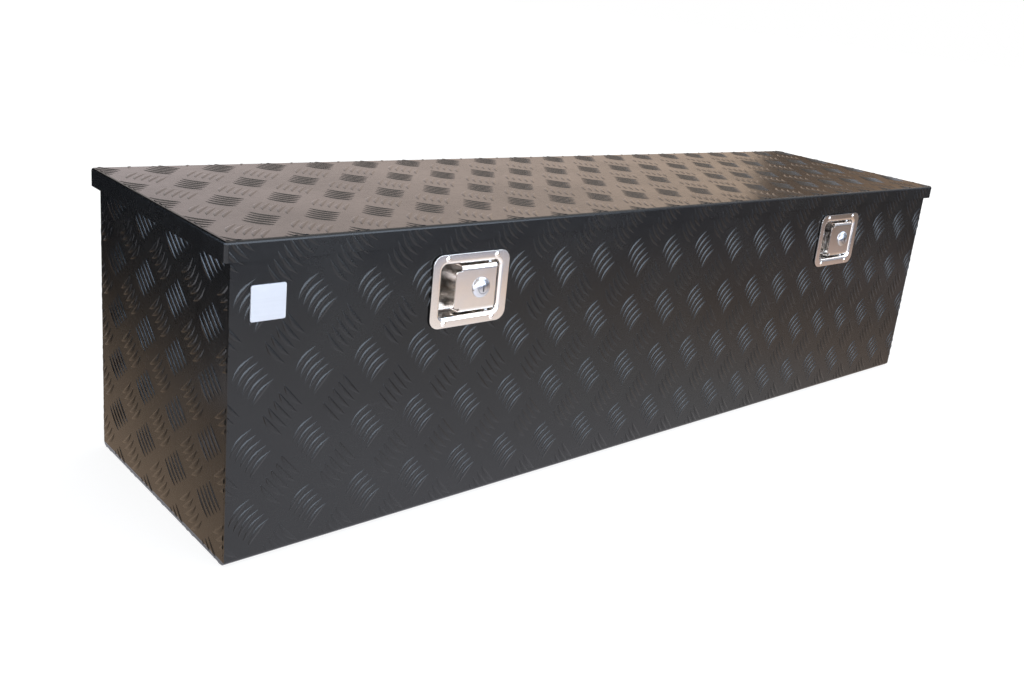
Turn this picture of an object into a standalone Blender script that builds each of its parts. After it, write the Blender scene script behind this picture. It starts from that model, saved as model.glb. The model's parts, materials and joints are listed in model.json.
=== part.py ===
"""Tread-plate tool box with a hinged lid, two keyed paddle latches and two gas struts.

Metres, +Z up. The front, with the latches, faces -Y, and the length runs along X. The origin is
the middle of the footprint, on the surface that the box stands on. Every piece is a solid of its
own. Pieces that move hang on an empty that lies on their joint's axis.
"""

import math

import bmesh
import bpy
from mathutils import Matrix, Vector

MM = 0.001

# Fits that all pieces share
TOUCH = 0.3 * MM
OVERRUN = 5 * MM

# Body: one sheet folded into front, floor and back, with two end panels
BODY_LENGTH = 1220 * MM
BODY_DEPTH = 306 * MM
OVERALL_HEIGHT = 321 * MM
SHEET = 2 * MM
BEND = 5 * MM
RIM_FLANGE = 16 * MM
BEND_STEPS = 4

# Seal on the rim
SEAL_WIDTH = 10 * MM
SEAL_HEIGHT = 6.4 * MM
SEAL_CORNER = 12 * MM
SEAL_CORNER_STEPS = 4
SEAL_CROWN_STEPS = 6
SEAL_FOOT_SHARE = 0.35

# Lid
LID_LIP = 19.5 * MM
LID_OVER_FRONT = 7 * MM
LID_OVER_END = 8 * MM
LID_BEND = 3 * MM
LID_BEND_STEPS = 3
LID_TRAVEL_DEG = 70

# Hat sections under the lid
STIFFENER_STRIKER_GAP = 32 * MM
STIFFENER_SHEET = 1.5 * MM
STIFFENER_CROWN = 30 * MM
STIFFENER_BRIM = 14 * MM
STIFFENER_HEIGHT = 11 * MM
STIFFENER_FRONT_GAP = 10 * MM
STIFFENER_BACK_GAP = 14 * MM

# Continuous hinge behind the back wall
HINGE_LENGTH = 1200 * MM
KNUCKLE_COUNT = 24
KNUCKLE_GAP = 0.5 * MM
LEAF = 1.5 * MM
LEAF_WIDTH = 30 * MM
HINGE_PIN_RADIUS = 1.5 * MM
KNUCKLE_PLAY = 0.3 * MM
HINGE_DROP = 1 * MM
CURL_DEG = 285
CURL_STEPS = 10
PIN_SIDES = 16

# Square plate on the front, left blank
BADGE_SIZE = 34.5 * MM
BADGE_THICKNESS = 1.5 * MM
BADGE_CORNER = 2 * MM
BADGE_END_GAP = 19 * MM
BADGE_DROP = 24 * MM
SMALL_CORNER_STEPS = 3

# Latch pan: a drawn cup with a flat flange round its mouth
LATCH_LEFT_INSET = 265 * MM
LATCH_RIGHT_INSET = 251 * MM
LATCH_DROP = 54 * MM
FLANGE_WIDTH = 100 * MM
FLANGE_HEIGHT = 79.5 * MM
FLANGE_CORNER = 12 * MM
PAN_SHEET = 1.2 * MM
PAN_WIDTH = 75 * MM
PAN_HEIGHT = 56.5 * MM
PAN_DEPTH = 22 * MM
PAN_CORNER = 6 * MM
PAN_MOUTH_BEND = 2.5 * MM
PAN_FLOOR_BEND = 2 * MM
PAN_BEND_STEPS = 3
PAN_CORNER_STEPS = 4
CUTOUT_PLAY = 0.5 * MM
GASKET = 1 * MM
GASKET_MARGIN = 1 * MM

# Rivets through the flange
RIVET_ACROSS = 64 * MM
RIVET_UP = 70 * MM
RIVET_HEAD_RADIUS = 3.4 * MM
RIVET_HEAD_HEIGHT = 1.3 * MM
RIVET_RADIUS = 1.6 * MM
RIVET_TAIL_RADIUS = 2.4 * MM
RIVET_TAIL_LENGTH = 2.2 * MM
RIVET_SIDES = 12
DOME_STEPS = 3

# Paddle: the plate that fingers pull, turning on an upright pin near its right edge
PADDLE_SHEET = 1.5 * MM
PADDLE_RECESS = 0.5 * MM
PADDLE_HEIGHT = 52 * MM
PADDLE_LEFT = 12 * MM
PADDLE_RIGHT = 34 * MM
PADDLE_TONGUE = 7.5 * MM
PADDLE_UPPER_NOTCH = 6 * MM
PADDLE_LOWER_NOTCH = 4 * MM
PADDLE_TONGUE_CORNER = 3 * MM
PADDLE_BEND = 3 * MM
PADDLE_CHEEK_DEPTH = 14 * MM
PADDLE_PIN_OFFSET = 29 * MM
PADDLE_PIN_DEPTH = 5 * MM
PADDLE_PIN_RADIUS = 2 * MM
PADDLE_PIN_HEAD_RADIUS = 2.7 * MM
PADDLE_PIN_HEAD = 1.2 * MM
PIN_PLAY = 0.3 * MM
PADDLE_TRAVEL_DEG = 28
LEVER_LENGTH = 25 * MM
LEVER_WIDTH = 5 * MM
LEVER_PLAY = 1 * MM

# Return spring round the paddle's pin
PADDLE_SPRING_WIRE = 1.2 * MM
PADDLE_SPRING_RADIUS = 3.3 * MM
PADDLE_SPRING_HEIGHT = 8 * MM
PADDLE_SPRING_TURNS = 4.5
PADDLE_SPRING_LEG = 20 * MM
COIL_POINTS_PER_TURN = 9
WIRE_SIDES = 5

# Key lock in the paddle
LOCK_OFFSET = 14.3 * MM
LOCK_BEZEL_RADIUS = 11.5 * MM
LOCK_BEZEL_HEIGHT = 3.2 * MM
LOCK_BARREL_RADIUS = 9 * MM
LOCK_BARREL_DEPTH = 14 * MM
LOCK_PLUG_RADIUS = 6 * MM
LOCK_PLUG_CHAMFER = 0.6 * MM
LOCK_PLUG_SUNK = 0.4 * MM
LOCK_STUD_RADIUS = 2.5 * MM
LOCK_SIDES = 24
KEYWAY_WIDTH = 1.4 * MM
KEYWAY_HEIGHT = 7 * MM
KEYWAY_DEPTH = 6 * MM
CAM_THICKNESS = 1.6 * MM
CAM_LENGTH = 17 * MM
CAM_HUB_RADIUS = 5.5 * MM
CAM_TIP_RADIUS = 3 * MM
NUT_THICKNESS = 1.5 * MM
NUT_RADIUS = 5 * MM
NUT_SIDES = 6

# Spring bolt behind the pan, and the channel that guides it
BOLT_THICKNESS = 10 * MM
BOLT_HEIGHT = 12 * MM
BOLT_TAIL = 12 * MM
BOLT_NOSE = 60 * MM
BOLT_SLOPE = 6 * MM
BOLT_SLOPE_DROP = 7 * MM
BOLT_PLAY = 0.3 * MM
BOLT_POCKET_LEFT = 4.5 * MM
BOLT_POCKET_RIGHT = 5.5 * MM
BOLT_POCKET_WALL = 1.5 * MM
GUIDE_SHEET = 1.5 * MM
GUIDE_LEFT = 14 * MM
GUIDE_RIGHT = 46 * MM
BOLT_SPRING_WIRE = 1 * MM
BOLT_SPRING_RADIUS = 3.5 * MM
BOLT_SPRING_TURNS = 6

# Hook under the lid that the bolt holds down
STRIKER_SHEET = 2.5 * MM
STRIKER_OFFSET = 49.5 * MM
STRIKER_STRAP = 10 * MM
STRIKER_HOOK_HEIGHT = 6.5 * MM
STRIKER_HOOK_PLAY = 0.9 * MM
STRIKER_BACK_PLAY = 1.5 * MM
STRIKER_HOOK_LIP = 0.5 * MM
STRIKER_FOOT = 26 * MM
STRIKER_BEND = 4 * MM
STRIKER_BEND_STEPS = 3

# Gas struts
STRUT_FOOT_FRONT = 31.3 * MM
STRUT_FOOT_DROP = 112.4 * MM
STRUT_HEAD_FRONT = 80 * MM
STRUT_HEAD_RISE = 1.9 * MM
STRUT_INSET = 28.5 * MM
STRUT_TUBE_RADIUS = 7.5 * MM
STRUT_TUBE_WALL = 1.2 * MM
STRUT_TUBE_LENGTH = 80 * MM
STRUT_TUBE_ROUND = 1.2 * MM
STRUT_ROD_RADIUS = 3 * MM
STRUT_ROD_PLAY = 0.25 * MM
STRUT_GUIDE_LENGTH = 6 * MM
STRUT_PISTON_LENGTH = 5 * MM
STRUT_PISTON_PLAY = 0.3 * MM
STRUT_SIDES = 20
SOCKET_RADIUS = 6.5 * MM
SOCKET_WIDTH = 10 * MM
SOCKET_NECK_RADIUS = 4.5 * MM
SOCKET_NECK_LENGTH = 12 * MM
SOCKET_SIDES = 16
BALL_RADIUS = 3 * MM
BALL_PLAY = 0.4 * MM
BALL_NECK_RADIUS = 2 * MM
BALL_STEPS = 5
STUD_BOSS_RADIUS = 5 * MM
STUD_NECK = 4 * MM
STUD_PLATE = 2.5 * MM
STUD_PLATE_WIDTH = 30 * MM
STUD_PLATE_HEIGHT = 42 * MM
STUD_PLATE_CORNER = 4 * MM
LID_BRACKET_SHEET = 2.5 * MM
LID_BRACKET_WIDTH = 30 * MM
LID_BRACKET_FOOT = 30 * MM
LID_BRACKET_BELOW = 8 * MM
LID_BRACKET_BEND = 4 * MM

# Places that follow from the sizes above
KNUCKLE_RADIUS = HINGE_PIN_RADIUS + KNUCKLE_PLAY + LEAF
HINGE_REACH = TOUCH + 2 * KNUCKLE_RADIUS
FRONT_Y = (LID_OVER_FRONT - BODY_DEPTH - HINGE_REACH) / 2
BACK_Y = FRONT_Y + BODY_DEPTH
END_X = BODY_LENGTH / 2
LID_UNDER_Z = OVERALL_HEIGHT - SHEET
RIM_Z = LID_UNDER_Z - 2 * TOUCH - SEAL_HEIGHT
LIP_Z = OVERALL_HEIGHT - LID_LIP
HINGE_Y = BACK_Y + TOUCH + KNUCKLE_RADIUS
HINGE_Z = LIP_Z - HINGE_DROP - KNUCKLE_RADIUS
LID_BACK_Y = HINGE_Y + KNUCKLE_RADIUS - LEAF - TOUCH
LATCH_Z = LIP_Z - LATCH_DROP

# Depths behind the front wall's outer face, counted into the box
FLANGE_FRONT = -(GASKET + 2 * TOUCH + PAN_SHEET)
PAN_BACK = FLANGE_FRONT + PAN_DEPTH + PAN_SHEET
PADDLE_FRONT = FLANGE_FRONT + PADDLE_RECESS
PADDLE_INSIDE = PADDLE_FRONT + PADDLE_SHEET
BEZEL_TOP = PADDLE_FRONT - TOUCH - LOCK_BEZEL_HEIGHT
CAM_FRONT = LOCK_BARREL_DEPTH + 2 * TOUCH
NUT_FRONT = CAM_FRONT + CAM_THICKNESS + TOUCH
LEVER_TIP = PADDLE_PIN_DEPTH + LEVER_LENGTH
GUIDE_FRONT = PAN_BACK + TOUCH
BOLT_FRONT = GUIDE_FRONT + GUIDE_SHEET + BOLT_PLAY
BOLT_BACK = BOLT_FRONT + BOLT_THICKNESS
BOLT_UP = PADDLE_HEIGHT / 2 - PADDLE_SHEET / 2

BLACK_COAT = ((0.035, 0.034, 0.034), 0.42, 0.0)
POLISHED_STEEL = ((0.76, 0.74, 0.71), 0.24, 1.0)
PLATED_STEEL = ((0.62, 0.62, 0.63), 0.34, 1.0)
BRIGHT_PLATE = ((0.82, 0.83, 0.85), 0.3, 0.9)
BLACK_RUBBER = ((0.02, 0.02, 0.02), 0.75, 0.0)
BLACK_STEEL = ((0.03, 0.03, 0.032), 0.38, 0.4)
BLACK_PLASTIC = ((0.028, 0.028, 0.03), 0.5, 0.0)


def along_x(a, b, c):
    """Drawn in Y and Z, thickness along X."""
    return Vector((c, a, b))


def along_y(a, b, c):
    """Drawn in X and Z, thickness along Y."""
    return Vector((a, c, b))


def along_z(a, b, c):
    """Drawn in X and Y, thickness along Z."""
    return Vector((a, b, c))


def shifted(plane, offset):
    """The same plane with its zero moved to offset."""
    return lambda a, b, c: plane(a, b, c) + offset


def close_up(mesh):
    """Turns every face of a mesh outwards."""
    bmesh.ops.recalc_face_normals(mesh, faces=mesh.faces)
    return mesh


def prism(outline, plane, start, end, mesh=None):
    """Solid of an outline that reaches from start to end across its plane."""
    mesh = mesh or bmesh.new()
    near = [mesh.verts.new(plane(a, b, start)) for a, b in outline]
    far = [mesh.verts.new(plane(a, b, end)) for a, b in outline]
    mesh.faces.new(near)
    mesh.faces.new(far)
    for i, corner in enumerate(near):
        mesh.faces.new((near[i - 1], corner, far[i], far[i - 1]))
    return close_up(mesh)


def block(low, high, mesh=None):
    """Box between two opposite corners."""
    outline = [(low[0], low[1]), (high[0], low[1]), (high[0], high[1]), (low[0], high[1])]
    return prism(outline, along_z, low[2], high[2], mesh)


def ring_prism(outer, inner, plane, start, end):
    """Flat ring between two outlines that have equally many points."""
    mesh = bmesh.new()
    loops = [
        [mesh.verts.new(plane(a, b, height)) for a, b in outline]
        for outline, height in ((outer, start), (outer, end), (inner, end), (inner, start))
    ]
    for i, loop in enumerate(loops):
        bridge(mesh, loops[i - 1], loop)
    return close_up(mesh)


def bridge(mesh, near, far):
    """Quads between two closed loops of equally many vertices."""
    for i, corner in enumerate(near):
        mesh.faces.new((near[i - 1], corner, far[i], far[i - 1]))


def lathe(profile, sides, plane, ring=False, mesh=None):
    """Solid turned from points of radius and place along the axis; a ring joins its ends."""
    mesh = mesh or bmesh.new()
    rows = []
    for radius, along in profile:
        if radius == 0:
            rows.append([mesh.verts.new(plane(0, 0, along))])
            continue
        turns = [2 * math.pi * i / sides for i in range(sides)]
        rows.append(
            [mesh.verts.new(plane(radius * math.cos(t), radius * math.sin(t), along)) for t in turns]
        )
    pairs = list(zip(rows, rows[1:]))
    if ring:
        pairs.append((rows[-1], rows[0]))
    for near, far in pairs:
        for i in range(sides):
            corners = [near[i % len(near)], near[(i + 1) % sides % len(near)]]
            corners += [far[(i + 1) % sides % len(far)], far[i % len(far)]]
            mesh.faces.new(list(dict.fromkeys(corners)))
    return close_up(mesh)


def tube(points, radius, sides):
    """Round wire along points, with closed ends."""
    mesh = bmesh.new()
    rows = []
    side = None
    for i, point in enumerate(points):
        ahead = points[min(i + 1, len(points) - 1)] - points[max(i - 1, 0)]
        ahead.normalize()
        if side is None:
            side = ahead.orthogonal()
        side = (side - ahead * side.dot(ahead)).normalized()
        across = ahead.cross(side)
        turns = [2 * math.pi * k / sides for k in range(sides)]
        rows.append(
            [
                mesh.verts.new(point + radius * (side * math.cos(t) + across * math.sin(t)))
                for t in turns
            ]
        )
    for near, far in zip(rows, rows[1:]):
        bridge(mesh, near, far)
    mesh.faces.new(rows[0])
    mesh.faces.new(rows[-1])
    return close_up(mesh)


def rounded_path(width, height, radius, steps):
    """Points of a rounded rectangle round the origin, each with its outward direction."""
    path = []
    for quarter, (right, up) in enumerate(((1, 1), (-1, 1), (-1, -1), (1, -1))):
        centre_a = right * (width / 2 - radius)
        centre_b = up * (height / 2 - radius)
        for step in range(steps + 1):
            turn = (quarter + step / steps) * math.pi / 2
            out = (math.cos(turn), math.sin(turn))
            path.append(((centre_a + radius * out[0], centre_b + radius * out[1]), out))
    return path


def rounded_rectangle(width, height, radius, steps):
    """Outline of a rounded rectangle round the origin."""
    return [point for point, _ in rounded_path(width, height, radius, steps)]


def moved(outline, across, up):
    """The same outline at another place in its plane."""
    return [(a + across, b + up) for a, b in outline]


def bent_sheet(corners, thickness, radius, steps):
    """Outline of a sheet folded at right angles, each fold turning to the right."""
    corners = [Vector(corner) for corner in corners]
    outer = []
    inner = []
    for i, corner in enumerate(corners):
        before = (corner - corners[i - 1]).normalized() if i else None
        after = (corners[i + 1] - corner).normalized() if i + 1 < len(corners) else None
        if before is None or after is None:
            ahead = after or before
            outer.append(corner)
            inner.append(corner + thickness * Vector((ahead.y, -ahead.x)))
            continue
        centre = corner + radius * (after - before)
        for step in range(steps + 1):
            turn = step / steps * math.pi / 2
            out = before * math.sin(turn) - after * math.cos(turn)
            outer.append(centre + radius * out)
            inner.append(centre + (radius - thickness) * out)
    return [tuple(point) for point in outer + inner[::-1]]


def empty_at(name, place, turn=0):
    """Empty that marks a joint's axis, turned about X where its pieces lie on a slant."""
    axis = bpy.data.objects.new(name, None)
    axis.empty_display_size = BEND
    axis.location = place
    axis.rotation_euler = (turn, 0, 0)
    bpy.context.scene.collection.objects.link(axis)
    return axis


def piece(name, mesh, finish, axis=None, local=False):
    """Object of a mesh drawn in world places, or in its axis's own where local is true."""
    if axis is not None and not local:
        bmesh.ops.transform(mesh, matrix=axis.matrix_basis.inverted(), verts=mesh.verts)
    data = bpy.data.meshes.new(name)
    mesh.to_mesh(data)
    mesh.free()
    data.shade_smooth()
    data.set_sharp_from_angle(angle=math.radians(32))
    made = bpy.data.objects.new(name, data)
    made.parent = axis
    bpy.context.scene.collection.objects.link(made)
    if finish is not None:
        data.materials.append(material(name, finish))
    return made


def material(name, finish):
    """Principled material of a finish's colour, roughness and metallic value."""
    colour, roughness, metallic = finish
    made = bpy.data.materials.new(name)
    made.use_nodes = True
    shader = made.node_tree.nodes["Principled BSDF"]
    shader.inputs["Base Color"].default_value = (*colour, 1)
    shader.inputs["Roughness"].default_value = roughness
    shader.inputs["Metallic"].default_value = metallic
    made.diffuse_color = (*colour, 1)
    return made


def helper(name, mesh, axis=None, local=False):
    """Object that only shapes others."""
    made = piece(name, mesh, None, axis, local)
    made.hide_render = True
    made.display_type = "WIRE"
    return made


def shape_with(target, tool, operation):
    """Cuts a target with a tool, or joins the tool to it."""
    boolean = target.modifiers.new(operation.lower(), "BOOLEAN")
    boolean.operation = operation
    boolean.solver = "EXACT"
    boolean.object = tool


def thicken(target, thickness):
    """Gives a surface its sheet thickness, behind its faces."""
    solidify = target.modifiers.new("sheet", "SOLIDIFY")
    solidify.solidify_mode = "NON_MANIFOLD"
    solidify.nonmanifold_thickness_mode = "CONSTRAINTS"
    solidify.thickness = thickness
    solidify.offset = -1


def dome(radius, height, base, steps):
    """Profile of a low dome from its top on the axis down to its edge; base is the edge's depth."""
    turns = [math.pi / 2 * (1 - step / steps) for step in range(steps + 1)]
    points = [(radius * math.cos(turn), base - height * math.sin(turn)) for turn in turns]
    return [(0, points[0][1])] + points[1:]


def build_body_wrap(drill):
    """Front, floor and back in one folded sheet, with inward rim flanges."""
    corners = [
        (BACK_Y - RIM_FLANGE, RIM_Z),
        (BACK_Y, RIM_Z),
        (BACK_Y, 0),
        (FRONT_Y, 0),
        (FRONT_Y, RIM_Z),
        (FRONT_Y + RIM_FLANGE, RIM_Z),
    ]
    outline = bent_sheet(corners, SHEET, BEND, BEND_STEPS)
    wrap = piece("body_wrap", prism(outline, along_x, -END_X, END_X), BLACK_COAT)
    mesh = bmesh.new()
    opening = rounded_rectangle(*cutout_size(), PAN_CORNER + PAN_SHEET, PAN_CORNER_STEPS)
    for _, centre_x in latches():
        outline = moved(opening, centre_x, LATCH_Z)
        prism(outline, along_y, FRONT_Y - OVERRUN, FRONT_Y + SHEET + OVERRUN, mesh)
    shape_with(wrap, helper("latch_opening_cutter", mesh), "DIFFERENCE")
    shape_with(wrap, drill, "DIFFERENCE")


def build_end_panel(name, side):
    """Flat end with a top edge folded inwards between the rim flanges of the wrap."""
    low = SHEET + TOUCH
    high = RIM_Z - SHEET - TOUCH
    front = FRONT_Y + SHEET + TOUCH
    back = BACK_Y - SHEET - TOUCH
    corners = [(-END_X, low), (-END_X, RIM_Z), (RIM_FLANGE - END_X, RIM_Z)]
    section = bent_sheet(corners, SHEET, BEND, BEND_STEPS)
    section = [(-side * x, z) for x, z in section]
    panel = piece(name, prism(section, along_y, front, back), BLACK_COAT)
    round_off = BEND - SHEET - TOUCH
    plate = rounded_rectangle(back - front, high - low, round_off, SMALL_CORNER_STEPS)
    plate = moved(plate, (front + back) / 2, (low + high) / 2)
    tab_front = FRONT_Y + RIM_FLANGE + TOUCH
    tab_back = BACK_Y - RIM_FLANGE - TOUCH
    tab_top = RIM_Z + OVERRUN
    plate.insert(SMALL_CORNER_STEPS + 1, (tab_back, high))
    plate[SMALL_CORNER_STEPS + 2:SMALL_CORNER_STEPS + 2] = [
        (tab_back, tab_top),
        (tab_front, tab_top),
        (tab_front, high),
    ]
    reach = END_X + OVERRUN
    mesh = prism(plate, along_x, side * reach, side * (END_X - RIM_FLANGE - OVERRUN))
    shape_with(panel, helper(name + "_outline", mesh), "INTERSECT")


def face_towards(mesh, direction):
    """Flips an open surface whose largest face looks the other way."""
    mesh.normal_update()
    largest = max(mesh.faces, key=lambda face: face.calc_area())
    if largest.normal.dot(direction) < 0:
        bmesh.ops.reverse_faces(mesh, faces=mesh.faces)


def build_rim_seal():
    """Rubber bulb that runs round the rim and meets the lid's underside."""
    middle_y = (FRONT_Y + BACK_Y) / 2
    length = BODY_LENGTH - RIM_FLANGE
    depth = BODY_DEPTH - RIM_FLANGE
    foot = SEAL_HEIGHT * SEAL_FOOT_SHARE
    crown = SEAL_HEIGHT - foot
    turns = [math.pi * step / SEAL_CROWN_STEPS for step in range(SEAL_CROWN_STEPS + 1)]
    section = [(SEAL_WIDTH / 2 * math.cos(t), foot + crown * math.sin(t)) for t in turns]
    section += [(-SEAL_WIDTH / 2, 0), (SEAL_WIDTH / 2, 0)]
    mesh = bmesh.new()
    rows = []
    for (x, y), out in rounded_path(length, depth, SEAL_CORNER, SEAL_CORNER_STEPS):
        rows.append(
            [
                mesh.verts.new((x + out[0] * a, middle_y + y + out[1] * a, RIM_Z + TOUCH + b))
                for a, b in section
            ]
        )
    for i, row in enumerate(rows):
        bridge(mesh, rows[i - 1], row)
    piece("rim_seal", close_up(mesh), BLACK_RUBBER)


def build_lid_shell(axis):
    """Tray-shaped lid with a lip on all four sides."""
    half = END_X + LID_OVER_END
    mesh = block((-half, FRONT_Y - LID_OVER_FRONT, LIP_Z), (half, LID_BACK_Y, OVERALL_HEIGHT))
    mesh.normal_update()
    floor = [face for face in mesh.faces if face.normal.z < -0.5]
    bmesh.ops.delete(mesh, geom=floor, context="FACES_ONLY")
    folds = [edge for edge in mesh.edges if len(edge.link_faces) == 2]
    bmesh.ops.bevel(
        mesh,
        geom=folds,
        offset=LID_BEND,
        offset_type="OFFSET",
        segments=LID_BEND_STEPS,
        profile=0.5,
        affect="EDGES",
        material=-1,
    )
    thicken(piece("lid_shell", mesh, BLACK_COAT, axis), SHEET)


def build_lid_stiffener(name, centre_x, axis):
    """Hat section under the lid, between the rim's front and back flanges."""
    top = LID_UNDER_Z - TOUCH
    crown = STIFFENER_CROWN / 2
    brim = crown + STIFFENER_BRIM
    shoulder = top - STIFFENER_SHEET
    low = top - STIFFENER_HEIGHT
    right = [
        (brim, top),
        (brim, shoulder),
        (crown, shoulder),
        (crown, low),
    ]
    inner = [
        (crown - STIFFENER_SHEET, low + STIFFENER_SHEET),
        (crown - STIFFENER_SHEET, top),
    ]
    outline = right + [(-a, b) for a, b in right[::-1]]
    outline += [(-a, b) for a, b in inner[::-1]] + inner
    front = FRONT_Y + RIM_FLANGE + STIFFENER_FRONT_GAP
    back = BACK_Y - RIM_FLANGE - STIFFENER_BACK_GAP
    mesh = prism(moved(outline, centre_x, 0), along_y, front, back)
    piece(name, mesh, BLACK_COAT, axis)


def leaf_profile(width):
    """Leaf that hangs down beside the pin and curls over it, with the pin's axis at zero."""
    inner = KNUCKLE_RADIUS - LEAF
    turns = [
        math.pi - math.radians(CURL_DEG) * step / CURL_STEPS for step in range(CURL_STEPS + 1)
    ]
    outline = [(-KNUCKLE_RADIUS, -width)]
    outline += [(KNUCKLE_RADIUS * math.cos(t), KNUCKLE_RADIUS * math.sin(t)) for t in turns]
    outline += [(inner * math.cos(t), inner * math.sin(t)) for t in turns[::-1]]
    return outline + [(-inner, -width)]


def build_hinge(lid_axis):
    """Continuous hinge: a leaf on the back wall, a leaf on the lid's back lip, and the pin."""
    pitch = HINGE_LENGTH / KNUCKLE_COUNT
    half = HINGE_LENGTH / 2
    centre = Vector((0, HINGE_Y, HINGE_Z))
    plane = shifted(along_x, centre)
    clear = KNUCKLE_RADIUS + KNUCKLE_GAP
    lid_leaf_width = LIP_Z + LID_LIP - LID_BEND - HINGE_Z
    body_outline = leaf_profile(LEAF_WIDTH)
    lid_outline = [(-a, -b) for a, b in leaf_profile(lid_leaf_width)]
    leaves = (
        ("hinge_leaf_body", body_outline, 0, None),
        ("hinge_leaf_lid", lid_outline, 1, lid_axis),
    )
    for name, outline, own, axis in leaves:
        leaf = piece(name, prism(outline, plane, -half, half), PLATED_STEEL, axis)
        mesh = bmesh.new()
        for i in range(KNUCKLE_COUNT):
            if i % 2 == own:
                continue
            start = -half + i * pitch - KNUCKLE_GAP / 2
            end = -half + (i + 1) * pitch + KNUCKLE_GAP / 2
            start -= OVERRUN if i == 0 else 0
            end += OVERRUN if i == KNUCKLE_COUNT - 1 else 0
            low = centre + Vector((start, -clear, -clear))
            high = centre + Vector((end, clear, clear))
            block(low, high, mesh)
        shape_with(leaf, helper(name + "_notch_cutter", mesh, axis), "DIFFERENCE")
    rod = [(0, -half), (HINGE_PIN_RADIUS, -half), (HINGE_PIN_RADIUS, half), (0, half)]
    piece("hinge_pin", lathe(rod, PIN_SIDES, plane), PLATED_STEEL)


def build_badge():
    """Blank square plate near the front's upper left corner."""
    outline = rounded_rectangle(BADGE_SIZE, BADGE_SIZE, BADGE_CORNER, SMALL_CORNER_STEPS)
    centre_x = -END_X + BADGE_END_GAP + BADGE_SIZE / 2
    centre_z = LIP_Z - BADGE_DROP - BADGE_SIZE / 2
    back = FRONT_Y - TOUCH
    mesh = prism(moved(outline, centre_x, centre_z), along_y, back - BADGE_THICKNESS, back)
    piece("badge_plate", mesh, BRIGHT_PLATE)


def latches():
    """Name and middle of each latch, left one first."""
    return (("left", -END_X + LATCH_LEFT_INSET), ("right", END_X - LATCH_RIGHT_INSET))


def cutout_size():
    """Width and height of the wall's opening for a latch pan."""
    grow = 2 * (PAN_SHEET + CUTOUT_PLAY)
    return PAN_WIDTH + grow, PAN_HEIGHT + grow


def rivet_places(centre_x):
    """Middle of each rivet of a latch, in X and Z."""
    return [
        (centre_x + right * RIVET_ACROSS / 2, LATCH_Z + up * RIVET_UP / 2)
        for right, up in ((-1, 1), (1, 1), (1, -1), (-1, -1))
    ]


def build_rivet_drill():
    """Cutter for every rivet's hole, through flange, gasket and wall."""
    mesh = bmesh.new()
    radius = RIVET_RADIUS + TOUCH
    for _, centre_x in latches():
        for x, z in rivet_places(centre_x):
            place = shifted(along_y, Vector((x, FRONT_Y, z)))
            ends = (FLANGE_FRONT - OVERRUN, SHEET + OVERRUN)
            profile = [(0, ends[0]), (radius, ends[0]), (radius, ends[1]), (0, ends[1])]
            lathe(profile, RIVET_SIDES, place, mesh=mesh)
    return helper("rivet_hole_cutter", mesh)


def build_latch_pan(side, place, drill):
    """Drawn cup and flange, with slots for the lever and holes for the pin and rivets."""
    floor = FLANGE_FRONT + PAN_DEPTH
    rows = [(FLANGE_WIDTH, FLANGE_HEIGHT, FLANGE_CORNER, FLANGE_FRONT)]
    for step in range(PAN_BEND_STEPS + 1):
        turn = step / PAN_BEND_STEPS * math.pi / 2
        out = PAN_MOUTH_BEND * (1 - math.sin(turn))
        depth = FLANGE_FRONT + PAN_MOUTH_BEND * (1 - math.cos(turn))
        rows.append((PAN_WIDTH + 2 * out, PAN_HEIGHT + 2 * out, PAN_CORNER + out, depth))
    for step in range(PAN_BEND_STEPS + 1):
        turn = step / PAN_BEND_STEPS * math.pi / 2
        out = PAN_FLOOR_BEND * (math.cos(turn) - 1)
        depth = floor - PAN_FLOOR_BEND * (1 - math.sin(turn))
        rows.append((PAN_WIDTH + 2 * out, PAN_HEIGHT + 2 * out, PAN_CORNER + out, depth))
    mesh = bmesh.new()
    loops = []
    for width, height, corner, depth in rows:
        outline = rounded_rectangle(width, height, corner, PAN_CORNER_STEPS)
        loops.append([mesh.verts.new(place(a, b, depth)) for a, b in outline])
    for near, far in zip(loops, loops[1:]):
        bridge(mesh, near, far)
    mesh.faces.new(loops[-1])
    close_up(mesh)
    face_towards(mesh, Vector((0, -1, 0)))
    pan = piece(f"latch_pan_{side}", mesh, POLISHED_STEEL)
    thicken(pan, PAN_SHEET)
    mesh = bmesh.new()
    reach = PAN_HEIGHT / 2 + PAN_SHEET + OVERRUN
    hole = PADDLE_PIN_RADIUS + PIN_PLAY
    upright = upright_plane(place)
    for up in (-1, 1):
        near = up * (PAN_HEIGHT / 2 - OVERRUN / 2)
        profile = [(0, near), (hole, near), (hole, up * reach), (0, up * reach)]
        lathe(profile, PIN_SIDES, upright, mesh=mesh)
    lever_slot(place, floor, PAN_BACK, mesh)
    shape_with(pan, helper(f"latch_pan_{side}_cutter", mesh), "DIFFERENCE")
    shape_with(pan, drill, "DIFFERENCE")


def upright_plane(place):
    """Plane across the paddle's upright pin, with the pin's axis at zero."""
    return lambda a, b, c: place(PADDLE_PIN_OFFSET + a, c, PADDLE_PIN_DEPTH + b)


def lever_slot(place, near, far, mesh):
    """Slot that clears the paddle's lever through its travel, between two depths."""
    travel = math.radians(PADDLE_TRAVEL_DEG)
    half = LEVER_WIDTH / 2
    swing = (far - PADDLE_PIN_DEPTH) * math.tan(travel) + half / math.cos(travel)
    right = PADDLE_PIN_OFFSET + half + LEVER_PLAY
    left = PADDLE_PIN_OFFSET - swing - LEVER_PLAY
    low = BOLT_UP - PADDLE_SHEET / 2 - LEVER_PLAY
    high = BOLT_UP + PADDLE_SHEET / 2 + LEVER_PLAY
    outline = [(left, low), (right, low), (right, high), (left, high)]
    prism(outline, place, near - OVERRUN / 4, far + OVERRUN / 4, mesh)


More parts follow.
